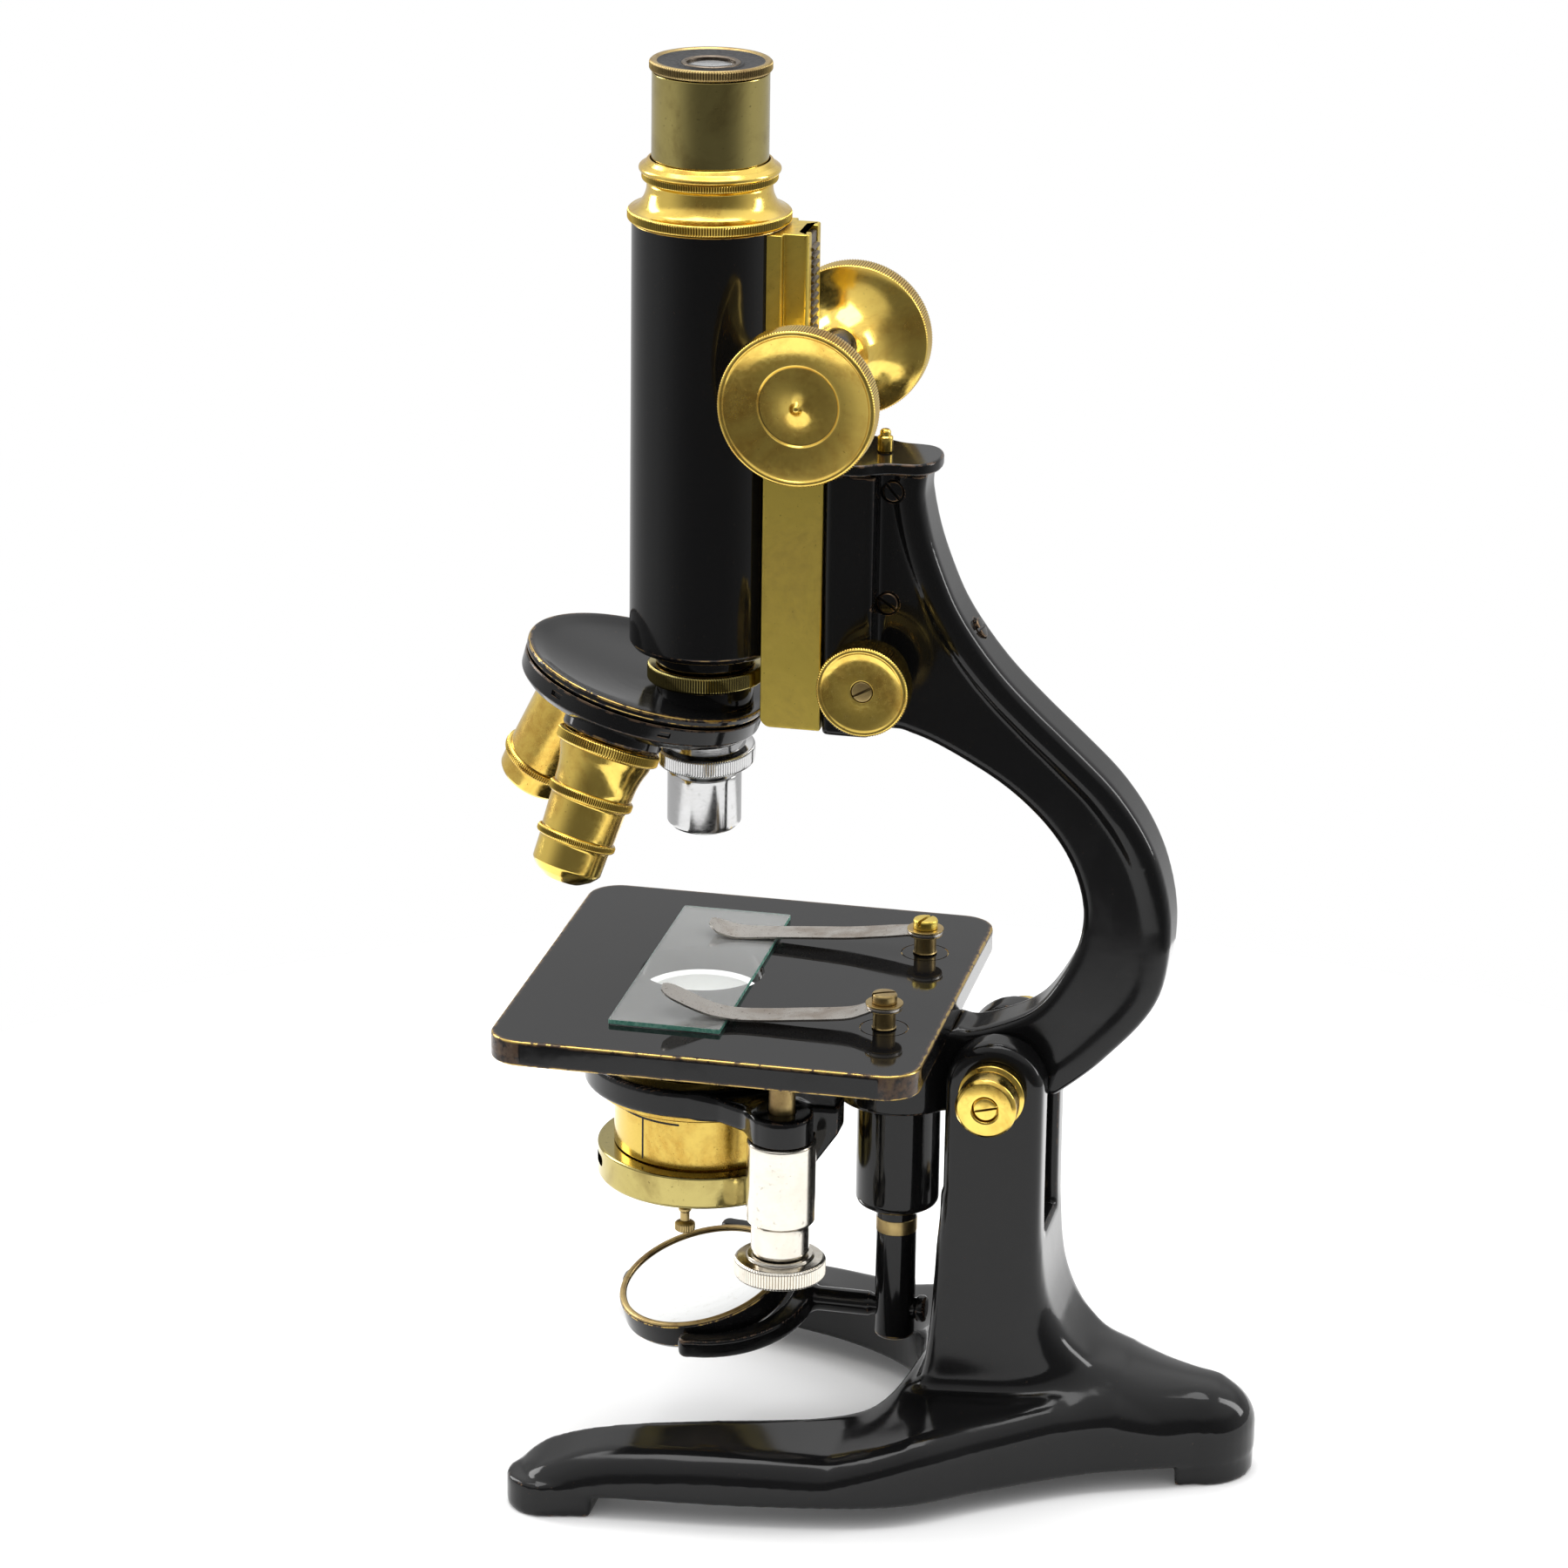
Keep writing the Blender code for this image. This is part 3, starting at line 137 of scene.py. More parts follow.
class Finish:
    """A node material with short calls for the nodes that the finishes share."""

    def __init__(self, name, slot):
        self.slot = slot
        self.material = bpy.data.materials.new(name)
        self.material.use_nodes = True
        self.tree = self.material.node_tree
        self.shader = self.tree.nodes["Principled BSDF"]
        self.coords = self.tree.nodes.new("ShaderNodeTexCoord").outputs["Object"]

    def node(self, kind, **sockets):
        node = self.tree.nodes.new(kind)
        for name, value in sockets.items():
            self.feed(node.inputs[name], value)
        return node

    def feed(self, socket, value):
        if isinstance(value, bpy.types.NodeSocket):
            self.tree.links.new(value, socket)
        elif isinstance(value, tuple) and len(value) == 3 and socket.type == "RGBA":
            socket.default_value = (*value, 1.0)
        else:
            socket.default_value = value

    def set(self, socket, value):
        self.feed(self.shader.inputs[socket], value)

    def stretched(self, x, y, z):
        """The object's coordinates, scaled differently along its axes."""
        node = self.node("ShaderNodeMapping", Vector=self.coords, Scale=(x, y, z))
        return node.outputs["Vector"]

    def noise(self, scale, detail=3.0, coords=None, distortion=0.0):
        node = self.node("ShaderNodeTexNoise", Vector=coords or self.coords, Scale=scale, Detail=detail,
                         Roughness=0.6, Distortion=distortion)
        return node.outputs["Fac"]

    def range(self, value, low, high, start=0.0, end=1.0):
        """Maps a value between two limits smoothly to another range."""
        node = self.node("ShaderNodeMapRange", Value=value)
        node.interpolation_type = "SMOOTHSTEP"
        for name, number in (("From Min", low), ("From Max", high), ("To Min", start), ("To Max", end)):
            self.feed(node.inputs[name], number)
        return node.outputs["Result"]

    def math(self, operation, a, b):
        node = self.tree.nodes.new("ShaderNodeMath")
        node.operation = operation
        self.feed(node.inputs[0], a)
        self.feed(node.inputs[1], b)
        return node.outputs[0]

    def times(self, a, b):
        return self.math("MULTIPLY", a, b)

    def plus(self, a, b):
        return self.math("ADD", a, b)

    def mix(self, factor, a, b):
        node = self.tree.nodes.new("ShaderNodeMix")
        node.data_type = "RGBA"
        self.feed(node.inputs["Factor"], factor)
        self.feed(node.inputs[6], a)
        self.feed(node.inputs[7], b)
        return node.outputs[2]

    def bump(self, height, strength, distance):
        node = self.node("ShaderNodeBump", Height=height, Strength=strength, Distance=distance * MM)
        self.set("Normal", node.outputs["Normal"])

    def attribute(self, name):
        node = self.tree.nodes.new("ShaderNodeAttribute")
        node.attribute_name = name
        return node.outputs["Fac"]


def enamel(name="black_enamel_gloss", edge=0.55, gloss=0.085, worn=WORN_BRASS):
    """Stoved black enamel: faint orange peel, handled patches, specks, and metal showing at sharp edges."""
    finish = Finish(name, "black_enamel")
    chips = finish.noise(420, 5.0)
    thin = finish.times(finish.attribute("wear"), finish.range(chips, 0.34, 0.62, 0.35, 1.25))
    bare = finish.range(thin, edge, edge + 0.35)
    primer = finish.range(thin, edge - 0.28, edge)
    specks = finish.range(finish.noise(1500, 2.0), 0.735, 0.76)
    dull = finish.range(finish.noise(38, 4.0, distortion=0.6), 0.42, 0.68)
    colour = finish.mix(finish.times(specks, 0.7), BLACK, UNDERCOAT)
    colour = finish.mix(primer, colour, UNDERCOAT)
    finish.set("Base Color", finish.mix(bare, colour, worn))
    finish.set("Metallic", bare)
    rough = finish.range(dull, 0.0, 1.0, gloss, gloss + 0.06)
    rough = finish.plus(rough, finish.times(primer, 0.18))
    finish.set("Roughness", rough)
    finish.set("Specular IOR Level", 0.3)
    peel = finish.plus(finish.noise(160, 2.0), finish.times(specks, 0.6))
    finish.bump(finish.math("SUBTRACT", peel, finish.times(primer, 0.8)), 0.12, 0.06)
    return finish


def brass(name, clean, dark, rough=0.17, spots=0.5, streaks=(1, 1, 1), slot="brass"):
    """Lacquered brass: clean patches, brown tarnish where lacquer has gone, fine spots and tool marks."""
    finish = Finish(name, slot)
    cloud = finish.noise(55, 5.0, distortion=0.8)
    blotch = finish.range(cloud, 0.40, 0.66)
    mottle = finish.range(finish.noise(420, 4.0), 0.35, 0.7)
    spot = finish.range(finish.noise(1250, 3.0), 0.66, 0.72, 0.0, spots)
    groove = finish.math("SUBTRACT", 1.0, finish.range(finish.attribute("wear"), -1.6, -0.15))
    middle = tuple(0.55 * a + 0.45 * b for a, b in zip(clean, dark))
    colour = finish.mix(blotch, clean, middle)
    colour = finish.mix(finish.times(mottle, finish.times(blotch, 0.55)), colour, dark)
    colour = finish.mix(spot, colour, tuple(0.35 * a for a in dark))
    colour = finish.mix(finish.times(groove, 0.75), colour, tuple(0.3 * a for a in dark))
    finish.set("Base Color", colour)
    finish.set("Metallic", 1.0)
    lines = finish.noise(900, 2.0, finish.stretched(*streaks))
    uneven = finish.range(cloud, 0.35, 0.7, rough, rough + 0.12)
    uneven = finish.plus(uneven, finish.range(lines, 0.35, 0.65, 0.0, 0.07))
    finish.set("Roughness", finish.plus(uneven, finish.times(spot, 0.2)))
    finish.bump(finish.plus(lines, finish.times(spot, -0.6)), 0.10, 0.03)
    return finish


def plated(name, slot, colour, stain, rough, stained=0.35):
    """Nickel, chrome or bright steel with water stains, fine scratches, and a darker colour in dips and corners.
    """
    finish = Finish(name, slot)
    cloud = finish.noise(120, 5.0, distortion=0.5)
    spots = finish.range(finish.noise(900, 3.0), 0.62, 0.70, 0.0, stained)
    groove = finish.math("SUBTRACT", 1.0, finish.range(finish.attribute("wear"), -1.8, -0.2))
    tone = finish.mix(finish.range(cloud, 0.42, 0.72, 0.0, stained), colour, stain)
    tone = finish.mix(finish.plus(spots, finish.times(groove, 0.5)), tone,
                      tuple(0.4 * a for a in stain))
    finish.set("Base Color", tone)
    finish.set("Metallic", 1.0)
    scratches = finish.noise(700, 2.0, finish.stretched(1, 1, 6))
    dull = finish.range(scratches, 0.3, 0.7, rough, rough + 0.08)
    finish.set("Roughness", finish.plus(dull, finish.times(spots, 0.25)))
    finish.bump(scratches, 0.06, 0.02)
    return finish


def clear_glass(name, tint, haze, rough=0.02):
    finish = Finish(name, "glass")
    smears = finish.noise(90, 4.0, distortion=1.0)
    smeared = finish.range(smears, 0.45, 0.75, 0.0, 0.15)
    finish.set("Base Color", finish.mix(smeared, tint, (0.80, 0.84, 0.80)))
    finish.set("Roughness", finish.range(smears, 0.5, 0.8, rough, rough + 0.05))
    finish.set("Transmission Weight", haze)
    finish.set("IOR", 1.5)
    return finish


def edge_glass():
    """Ground edge of a glass slip, green by the long way light goes in it."""
    finish = Finish("glass_edge_green", "glass")
    ripple = finish.noise(800, 2.0)
    waves = finish.range(ripple, 0.3, 0.7)
    finish.set("Base Color", finish.mix(waves, (0.10, 0.33, 0.25), (0.24, 0.52, 0.42)))
    finish.set("Roughness", finish.range(ripple, 0.3, 0.7, 0.15, 0.4))
    finish.set("Specular IOR Level", 0.6)
    return finish


def painted_glow_lens():
    """Upper lens of the condenser, white and glowing: painted light standing in for the light that the mirror
    sends up.
    """
    finish = Finish("condenser_lens_painted_glow", "glass")
    haze = finish.noise(70, 3.0)
    finish.set("Base Color", finish.mix(haze, (0.86, 0.88, 0.87), (0.95, 0.96, 0.95)))
    finish.set("Roughness", finish.range(haze, 0.3, 0.7, 0.04, 0.10))
    # painted glow standing in for the mirror's light; the lens is no lamp
    finish.set("Emission Color", (1.0, 1.0, 0.98))
    finish.set("Emission Strength", 0.55)
    return finish


def silvered():
    """Front-lit mirror glass with a faint dust haze."""
    finish = Finish("mirror_silver", "mirror")
    dust = finish.range(finish.noise(500, 4.0), 0.5, 0.8)
    finish.set("Base Color", finish.mix(dust, (0.93, 0.935, 0.925), (0.86, 0.86, 0.83)))
    finish.set("Metallic", 1.0)
    finish.set("Roughness", finish.range(dust, 0.0, 1.0, 0.03, 0.09))
    return finish


def painted(name, colour, rough=0.6):
    """Dull black paint in recesses and engraved lines; on the disc inside the eyepiece it is painted shade."""
    finish = Finish(name, "black_enamel")
    grain = finish.noise(900, 3.0)
    finish.set("Base Color", finish.mix(grain, colour, tuple(1.9 * a for a in colour)))
    finish.set("Roughness", finish.range(grain, 0.3, 0.7, rough, rough + 0.2))
    return finish


ENAMEL = enamel()
STAGE_ENAMEL = enamel("stage_enamel", edge=0.33, gloss=0.045)
CAST_ENAMEL = enamel("cast_enamel", edge=0.75, gloss=0.10, worn=(0.16, 0.11, 0.07))
DULL_BLACK = painted("dull_black", (0.010, 0.010, 0.011))
GOLD = brass("gold_brass", (0.86, 0.62, 0.14), (0.52, 0.28, 0.045), 0.11)
AMBER = brass("amber_lacquer_brass", (0.60, 0.43, 0.10), (0.46, 0.24, 0.035), 0.15)
OLIVE = brass("olive_brass", (0.44, 0.365, 0.13), (0.24, 0.18, 0.06), 0.07, 0.6)
SATIN = brass("satin_brass", (0.74, 0.56, 0.11), (0.47, 0.34, 0.08), 0.30, 0.7, (1, 1, 14))
AGED = brass("brown_brass", (0.42, 0.31, 0.13), (0.17, 0.10, 0.045), 0.30, 0.8, slot="aged_brass")
NICKEL = plated("warm_nickel", "nickel", (0.76, 0.72, 0.64), (0.56, 0.48, 0.38), 0.14, 0.3)
CHROME = plated("bright_chrome", "chrome", (0.54, 0.54, 0.54), (0.40, 0.39, 0.38), 0.08, 0.2)
STEEL = plated("stained_steel", "steel", (0.50, 0.47, 0.43), (0.26, 0.20, 0.15), 0.26, 0.7)
RACK_STEEL = plated("dark_rack_steel", "steel", (0.16, 0.13, 0.10), (0.07, 0.05, 0.04), 0.35, 0.6)
GLASS = clear_glass("slide_glass", (0.97, 0.985, 0.975), 0.87)
LENS = clear_glass("lens_glass", (0.93, 0.95, 0.97), 1.0)
EDGE_GLASS = edge_glass()
PAINTED_GLOW_LENS = painted_glow_lens()
SILVER = silvered()


# Meshes and pieces ----

def add(name, mesh, finish, matrix, body=None):
    """Puts a piece in place. Without a body it stands for the CAD node of its name and rides with it."""
    mesh.materials.append(finish.material)
    mesh.shade_smooth()
    mesh.set_sharp_from_angle(angle=SHARP)
    obj = bpy.data.objects.new(name if body else name + "_piece", mesh)
    bpy.context.scene.collection.objects.link(obj)
    obj.matrix_world = matrix
    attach(obj, body or BODY_OF[name])
    if not body:
        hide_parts(name)
    return obj


def bake(obj):
    """Makes what the modifiers show the object's own mesh."""
    graph = bpy.context.evaluated_depsgraph_get()
    mesh = bpy.data.meshes.new_from_object(obj.evaluated_get(graph))
    obj.modifiers.clear()
    old, obj.data = obj.data, mesh
    bpy.data.meshes.remove(old)
    return obj


def carve(obj, *cutters):
    """Cuts meshes, each with its matrix, out of a piece."""
    helpers = []
    for mesh, matrix in cutters:
        helper = bpy.data.objects.new("cutter", mesh)
        bpy.context.scene.collection.objects.link(helper)
        helper.matrix_world = matrix
        helpers.append(helper)
        modifier = obj.modifiers.new("cut", "BOOLEAN")
        modifier.operation = "DIFFERENCE"
        modifier.solver = "EXACT"
        modifier.object = helper
    bake(obj)
    for helper in helpers:
        bpy.data.meshes.remove(helper.data)
    return obj


def mark_wear(obj):
    """Keeps how sharply the surface bends at each vertex, in 1/mm: positive on edges, negative in dips."""
    mesh = obj.data
    count = len(mesh.vertices)
    points, normals = np.empty(count * 3), np.empty(count * 3)
    mesh.vertices.foreach_get("co", points)
    mesh.vertex_normals.foreach_get("vector", normals)
    points, normals = points.reshape(-1, 3) / MM, normals.reshape(-1, 3)
    ends = np.empty(len(mesh.edges) * 2, np.int32)
    mesh.edges.foreach_get("vertices", ends)
    a, b = ends.reshape(-1, 2).T
    span = points[b] - points[a]
    size = (span ** 2).sum(1) + 1e-6
    bend_a, bend_b = -2 * (span * normals[a]).sum(1) / size, 2 * (span * normals[b]).sum(1) / size
    total = np.bincount(a, bend_a, count) + np.bincount(b, bend_b, count)
    number = np.bincount(a, minlength=count) + np.bincount(b, minlength=count)
    wear = mesh.attributes.new("wear", "FLOAT", "POINT")
    wear.data.foreach_set("value", (total / np.maximum(number, 1)).astype(np.float32))
    return obj


def level(obj):
    """Marks wear, and keeps flat faces flat in their shading."""
    if "wear" not in obj.data.attributes:
        mark_wear(obj)
    normals = obj.modifiers.new("flat_faces", "WEIGHTED_NORMAL")
    normals.keep_sharp = True
    return obj


def mesh_of(name, points, faces):
    """A closed mesh from points in millimetres, with doubled points merged."""
    mesh = bpy.data.meshes.new(name)
    mesh.from_pydata((np.asarray(points) * MM).tolist(), [], faces)
    bm = bmesh.new()
    bm.from_mesh(mesh)
    bmesh.ops.remove_doubles(bm, verts=bm.verts, dist=1e-7)
    bmesh.ops.recalc_face_normals(bm, faces=bm.faces)
    bm.to_mesh(mesh)
    bm.free()
    return mesh


def smooth_curve(points, per_span=6):
    """A Catmull-Rom curve through the points, ends included."""
    points = [np.array(p, float) for p in points]
    ends = [2 * points[0] - points[1]] + points + [2 * points[-1] - points[-2]]
    curve = []
    for a, b, c, d in zip(ends, ends[1:], ends[2:], ends[3:]):
        for i in range(per_span):
            t = i / per_span
            curve.append(0.5 * (2 * b + (c - a) * t + (2 * a - 5 * b + 4 * c - d) * t ** 2
                                + (3 * b - a - 3 * c + d) * t ** 3))
    curve.append(points[-1])
    return [tuple(p) for p in curve]


def arc(cx, cy, radius, start, end, count):
    angles = np.radians(np.linspace(start, end, count + 1))
    return [(cx + radius * math.cos(a), cy + radius * math.sin(a)) for a in angles]


def rounded_rectangle(x0, x1, y0, y1, radius, count=6):
    outline = []
    for cx, cy, start in ((x1 - radius, y1 - radius, 0), (x0 + radius, y1 - radius, 90),
                          (x0 + radius, y0 + radius, 180), (x1 - radius, y0 + radius, 270)):
        outline += arc(cx, cy, radius, start, start + 90, count)
    return outline


def softened(profile, width):
    """A closed (radius, height, knurl) outline with a small arc at each real corner."""
    points = [np.array((*p, 0.0)[:3], float) for p in profile]
    result = []
    for before, here, after in zip(points[-1:] + points[:-1], points, points[1:] + points[:1]):
        back, on = (before - here)[:2], (after - here)[:2]
        back_length, on_length = np.hypot(*back), np.hypot(*on)
        straight = -(back @ on) > 0.97 * back_length * on_length
        if here[0] < 1e-6 or straight:
            result.append(here)
            continue
        reach = min(width, 0.42 * back_length, 0.42 * on_length)
        start = here + (before - here) * reach / back_length
        end = here + (after - here) * reach / on_length
        for t in (0.0, 0.3, 0.7, 1.0):
            result.append((1 - t) ** 2 * start + 2 * t * (1 - t) * here + t * t * end)
    return np.array(held(result))


def held(outline):
    """Adds a point near both ends of each long line, so that wear marked on a corner stays there."""
    result = []
    for here, after in zip(outline, outline[1:] + outline[:1]):
        length = np.hypot(*(after - here)[:2])
        result.append(here)
        if length > 3 * HOLD:
            result += [here + (after - here) * HOLD / length, after + (here - after) * HOLD / length]
    return result


def sleeve(inner, outer, low, high):
    """Outline of a plain ring, or of a plain cylinder where the inner radius is 0."""
    return [(inner, high), (outer, high), (outer, low), (inner, low)]


def turned_mesh(name, profile, steps=96, pitch=0.0, depth=0.0, width=0.3):
    """The outline turned about Z. Where its points carry a knurl, ridges of that pitch run along it."""
    outline = softened(profile, width)
    wave = np.zeros(steps)
    if pitch:
        steps = 4 * round(2 * math.pi * outline[:, 0].max() / pitch)
        wave = np.tile((0.0, 0.45, 1.0, 0.45), steps // 4)
    angles = np.arange(steps) * 2 * math.pi / steps
    radii = outline[:, :1] - outline[:, 2:] * depth * wave
    points = np.stack((radii * np.cos(angles), radii * np.sin(angles), outline[:, 1:2] + 0 * radii), -1)
    count = len(outline)
    faces = []
    for i in range(count):
        j = (i + 1) % count
        if outline[i, 0] < 1e-6 and outline[j, 0] < 1e-6:
            continue
        low, high = i * steps, j * steps
        faces += [(low + k, low + (k + 1) % steps, high + (k + 1) % steps, high + k) for k in range(steps)]
    return mesh_of(name, points.reshape(-1, 3), faces)


def turned(name, profile, finish, matrix, body=None, steps=96, pitch=0.0, depth=0.0, width=0.3, cutters=()):
    obj = add(name, turned_mesh(name, profile, steps, pitch, depth, width), finish, matrix, body)
    return level(carve(obj, *cutters) if cutters else obj)


def prism_mesh(name, outline, low, high, width=0.3, hold=HOLD):
    """A flat outline raised from low to high along Z, its real edges rounded."""
    bm = bmesh.new()
    face = bm.faces.new([bm.verts.new((x, y, low)) for x, y in outline])
    lifted = bmesh.ops.extrude_face_region(bm, geom=[face])["geom"]
    moved = [v for v in lifted if isinstance(v, bmesh.types.BMVert)]
    bmesh.ops.translate(bm, vec=(0, 0, high - low), verts=moved)
    bmesh.ops.recalc_face_normals(bm, faces=bm.faces)
    if width:
        edges = [e for e in bm.edges if e.calc_face_angle(0) > math.radians(32)]
        bmesh.ops.bevel(bm, geom=edges, offset=width, segments=3, profile=0.5, affect="EDGES",
                        clamp_overlap=True)
    if width and hold:
        broad = [face for face in bm.faces
                 if len(face.verts) > 4 or min(edge.calc_length() for edge in face.edges) > 3 * hold]
        bmesh.ops.inset_individual(bm, faces=broad, thickness=hold)
    bmesh.ops.scale(bm, vec=(MM, MM, MM), verts=bm.verts)
    mesh = bpy.data.meshes.new(name)
    bm.to_mesh(mesh)
    bm.free()
    return mesh


def prism(name, outline, low, high, finish, matrix, body=None, width=0.3, cutters=(), hold=HOLD):
    mesh = prism_mesh(name, outline, low, high, width, hold=hold)
    obj = mark_wear(add(name, mesh, finish, matrix, body))
    if cutters:
        carve(obj, *cutters)
    return level(obj)


def block_cutter(low, high, matrix=None, width=0.0):
    outline = [(low[0], low[1]), (high[0], low[1]), (high[0], high[1]), (low[0], high[1])]
    return prism_mesh("cutter", outline, low[2], high[2], width), matrix or AXIS


def round_cutter(radius, low, high, matrix, steps=48):
    return turned_mesh("cutter", sleeve(0, radius, low, high), steps, width=0), matrix


def slotted(name, radius, height, finish, matrix, angle, body=None, slot_width=0.24, below=1.5):
    """A screw head whose seat is at height 0, slightly domed, with a driver's slot across it."""
    profile = [(0, height + 0.12), (radius * 0.6, height + 0.06), (radius * 0.92, height),
               (radius, height * 0.82), (radius, 0), (radius * 0.5, 0), (radius * 0.5, -below), (0, -below)]
    half = radius * slot_width / 2
    low, high = (-radius * 1.2, -half, height * 0.45), (radius * 1.2, half, height * 3)
    slot = block_cutter(low, high, matrix @ turn(angle))
    return turned(name, profile, finish, matrix, body, 48, width=0.15, cutters=[slot])


def curved_strip(name, radius, thickness, start, end, low, high, finish, matrix, body):
    """A thin strip lying round a cylinder, between two azimuths and two heights."""
    angles = np.radians(np.linspace(start, end, max(2, round(abs(end - start) / 2)) + 1))
    points = []
    for a in angles:
        for r, z in ((radius - thickness, low), (radius, low), (radius, high), (radius - thickness, high)):
            points.append((r * math.cos(a), r * math.sin(a), z))
    faces = [tuple(range(4)), tuple(range(len(points) - 4, len(points)))]
    for i in range(len(angles) - 1):
        for j in range(4):
            k = (j + 1) % 4
            faces.append((4 * i + j, 4 * i + k, 4 * i + 4 + k, 4 * i + 4 + j))
    return level(add(name, mesh_of(name, points, faces), finish, matrix, body))


# Castings on distance fields ----

def grid(low, high, step):
    """Three axes of a regular grid, shaped to be combined with each other."""
    x, y, z = (np.arange(a, b + step, step, dtype=np.float32) for a, b in zip(low, high))
    return x[:, None, None], y[None, :, None], z[None, None, :]


def line_distance(x, y, line):
    """Distance from each point to an open line."""
    best = np.full(np.broadcast(x, y).shape, 1e9, np.float32)
    for (ax, ay), (bx, by) in zip(line, line[1:]):
        ex, ey = bx - ax, by - ay
        t = np.clip(((x - ax) * ex + (y - ay) * ey) / max(ex * ex + ey * ey, 1e-9), 0, 1)
        best = np.minimum(best, (x - ax - t * ex) ** 2 + (y - ay - t * ey) ** 2)
    return np.sqrt(best)


def outline_distance(x, y, outline):
    """Signed distance to a closed outline, below zero inside it."""
    closed = list(outline) + [outline[0]]
    inside = np.zeros(np.broadcast(x, y).shape, bool)
    for (ax, ay), (bx, by) in zip(closed, closed[1:]):
        if ay != by:
            inside ^= ((ay > y) != (by > y)) & (x < (bx - ax) * (y - ay) / (by - ay) + ax)
    return line_distance(x, y, closed) * np.where(inside, -1, 1)


def meet(a, b, radius):
    """What two solids share, with their common edge rounded."""
    u, v = a + radius, b + radius
    return np.minimum(np.maximum(u, v), 0) + np.hypot(np.maximum(u, 0), np.maximum(v, 0)) - radius


def blend(a, b, reach):
    """Two solids together, with a concave fillet between them."""
    h = np.clip(0.5 + 0.5 * (b - a) / reach, 0, 1)
    return b + (a - b) * h - reach * h * (1 - h)


def shifted(where, others, back):
    """Cells beside grid edges, moved back along the two axes across them."""
    cell = where.copy()
    cell[:, others] -= back
    return cell


def surface_faces(crossings, ids):
    """One quad round each crossed grid edge, facing out."""
    faces = []
    for where, others, starts_inside, axis in crossings:
        good = ((where[:, others] > 0) & (where[:, others] < np.array(ids.shape)[others])).all(1)
        where, starts_inside = where[good], starts_inside[good]
        corners = [ids[tuple(shifted(where, others, back).T)] for back in ((1, 1), (0, 1), (0, 0), (1, 0))]
        quads = np.stack(corners, 1)
        flip = starts_inside == (axis == 1)
        quads[flip] = quads[flip][:, ::-1]
        faces.append(quads)
    return np.concatenate(faces)


def surface(name, field, low, step):
    """Quads over the zero surface of a field, one point in each cell that the surface passes through."""
    shape = np.array(field.shape) - 1
    inside = field < 0
    total, number = np.zeros((*shape, 3), np.float32), np.zeros(tuple(shape), np.int32)
    crossings = []
    for axis in range(3):
        first, second = [slice(None)] * 3, [slice(None)] * 3
        first[axis], second[axis] = slice(None, -1), slice(1, None)
        a, b = field[tuple(first)], field[tuple(second)]
        crossed = inside[tuple(first)] != inside[tuple(second)]
        where = np.argwhere(crossed)
        offset = np.zeros((len(where), 3), np.float32)
        offset[:, axis] = a[crossed] / (a[crossed] - b[crossed])
        position = where + offset
        others = [i for i in range(3) if i != axis]
        for back in ((0, 0), (1, 0), (0, 1), (1, 1)):
            cell = shifted(where, others, back)
            good = ((cell >= 0) & (cell < shape)).all(1)
            index = tuple(cell[good].T)
            np.add.at(total, index, position[good])
            np.add.at(number, index, 1)
        crossings.append((where, others, inside[tuple(first)][crossed], axis))
    used = number > 0
    ids = np.full(tuple(shape), -1, np.int64)
    ids[used] = np.arange(used.sum())
    points = total[used] / number[used][:, None] * step + np.array(low, np.float32)
    mesh = bpy.data.meshes.new(name)
    mesh.from_pydata((points * MM).tolist(), [], surface_faces(crossings, ids).tolist())
    return mesh


def casting(name, field, low, step, finish, matrix, cutters=(), passes=4):
    obj = add(name, surface(name, field, low, step), finish, matrix)
    smooth = obj.modifiers.new("smooth", "SMOOTH")
    smooth.factor, smooth.iterations = 0.5, passes
    bake(obj)
    if cutters:
        carve(obj, *cutters)
        obj.data.set_sharp_from_angle(angle=SHARP)
    return mark_wear(obj)


# Foot and inclination joint ----

def foot_plan():
    """Outline of the horseshoe seen from above, with its outer and inner lines on the near side."""
    outer = smooth_curve([(-23, -65), (-8, -61.9), (25, -58.3), (57, -51), (77, -37), (99, -22.4),
                          (121.2, -12.6)])
    inner = smooth_curve([(54, 0), (51.5, -13), (45, -24), (30, -34), (10, -40.8), (-10, -45), (-23, -46)])
    toe = arc(-23, -55.5, 9.5, 90, 270, 14)[1:-1]
    heel = arc(121.2, 0, 12.5, -90, 0, 8)[1:]
    half = inner + toe + outer + heel
    return half + [(x, -y) for x, y in reversed(half)][1:-1], outer, inner


def foot_top(x, y, to_inner):
    """Height of the upper face: a ridge along the inner edge, a slope outwards, a crown over the heel."""
    ridge = np.array(smooth_curve([(-36, -108), (-31, -103.6), (-27.5, -101.3), (-22, -99.1), (-15, -96.9),
                                   (-5, -95.3), (11, -94.4), (23, -94.6), (34, -95.3), (42, -95.8),
                                   (47, -95.5), (50.5, -93.8), (54, -91.2), (60, -90.6), (70, -89.2),
                                   (80, -87.2), (90, -85.8), (101.6, -86), (104.8, -87), (111, -88.5),
                                   (117.4, -89.4), (124.3, -90.3), (128, -91.6), (145, -96)]))
    slope = np.interp(x, (-40, 0, 36, 62), (0.17, 0.15, 0.07, 0.02)) * np.clip(to_inner, 0, 22)
    crown = np.interp(x, (60, 92), (0, 1)) * np.clip(np.abs(y), 0, 15) ** 2 / 60
    brim = np.clip(1 - to_inner / 16, 0, 1) ** 2
    away = np.interp(x, (42, 58, 78, 90), (-95.8, -92.4, -88.4, -85.8))
    along = np.interp(x, ridge[:, 0], ridge[:, 1])
    return np.where((x > 42) & (x < 90), away + (along - away) * brim, along) - slope - crown


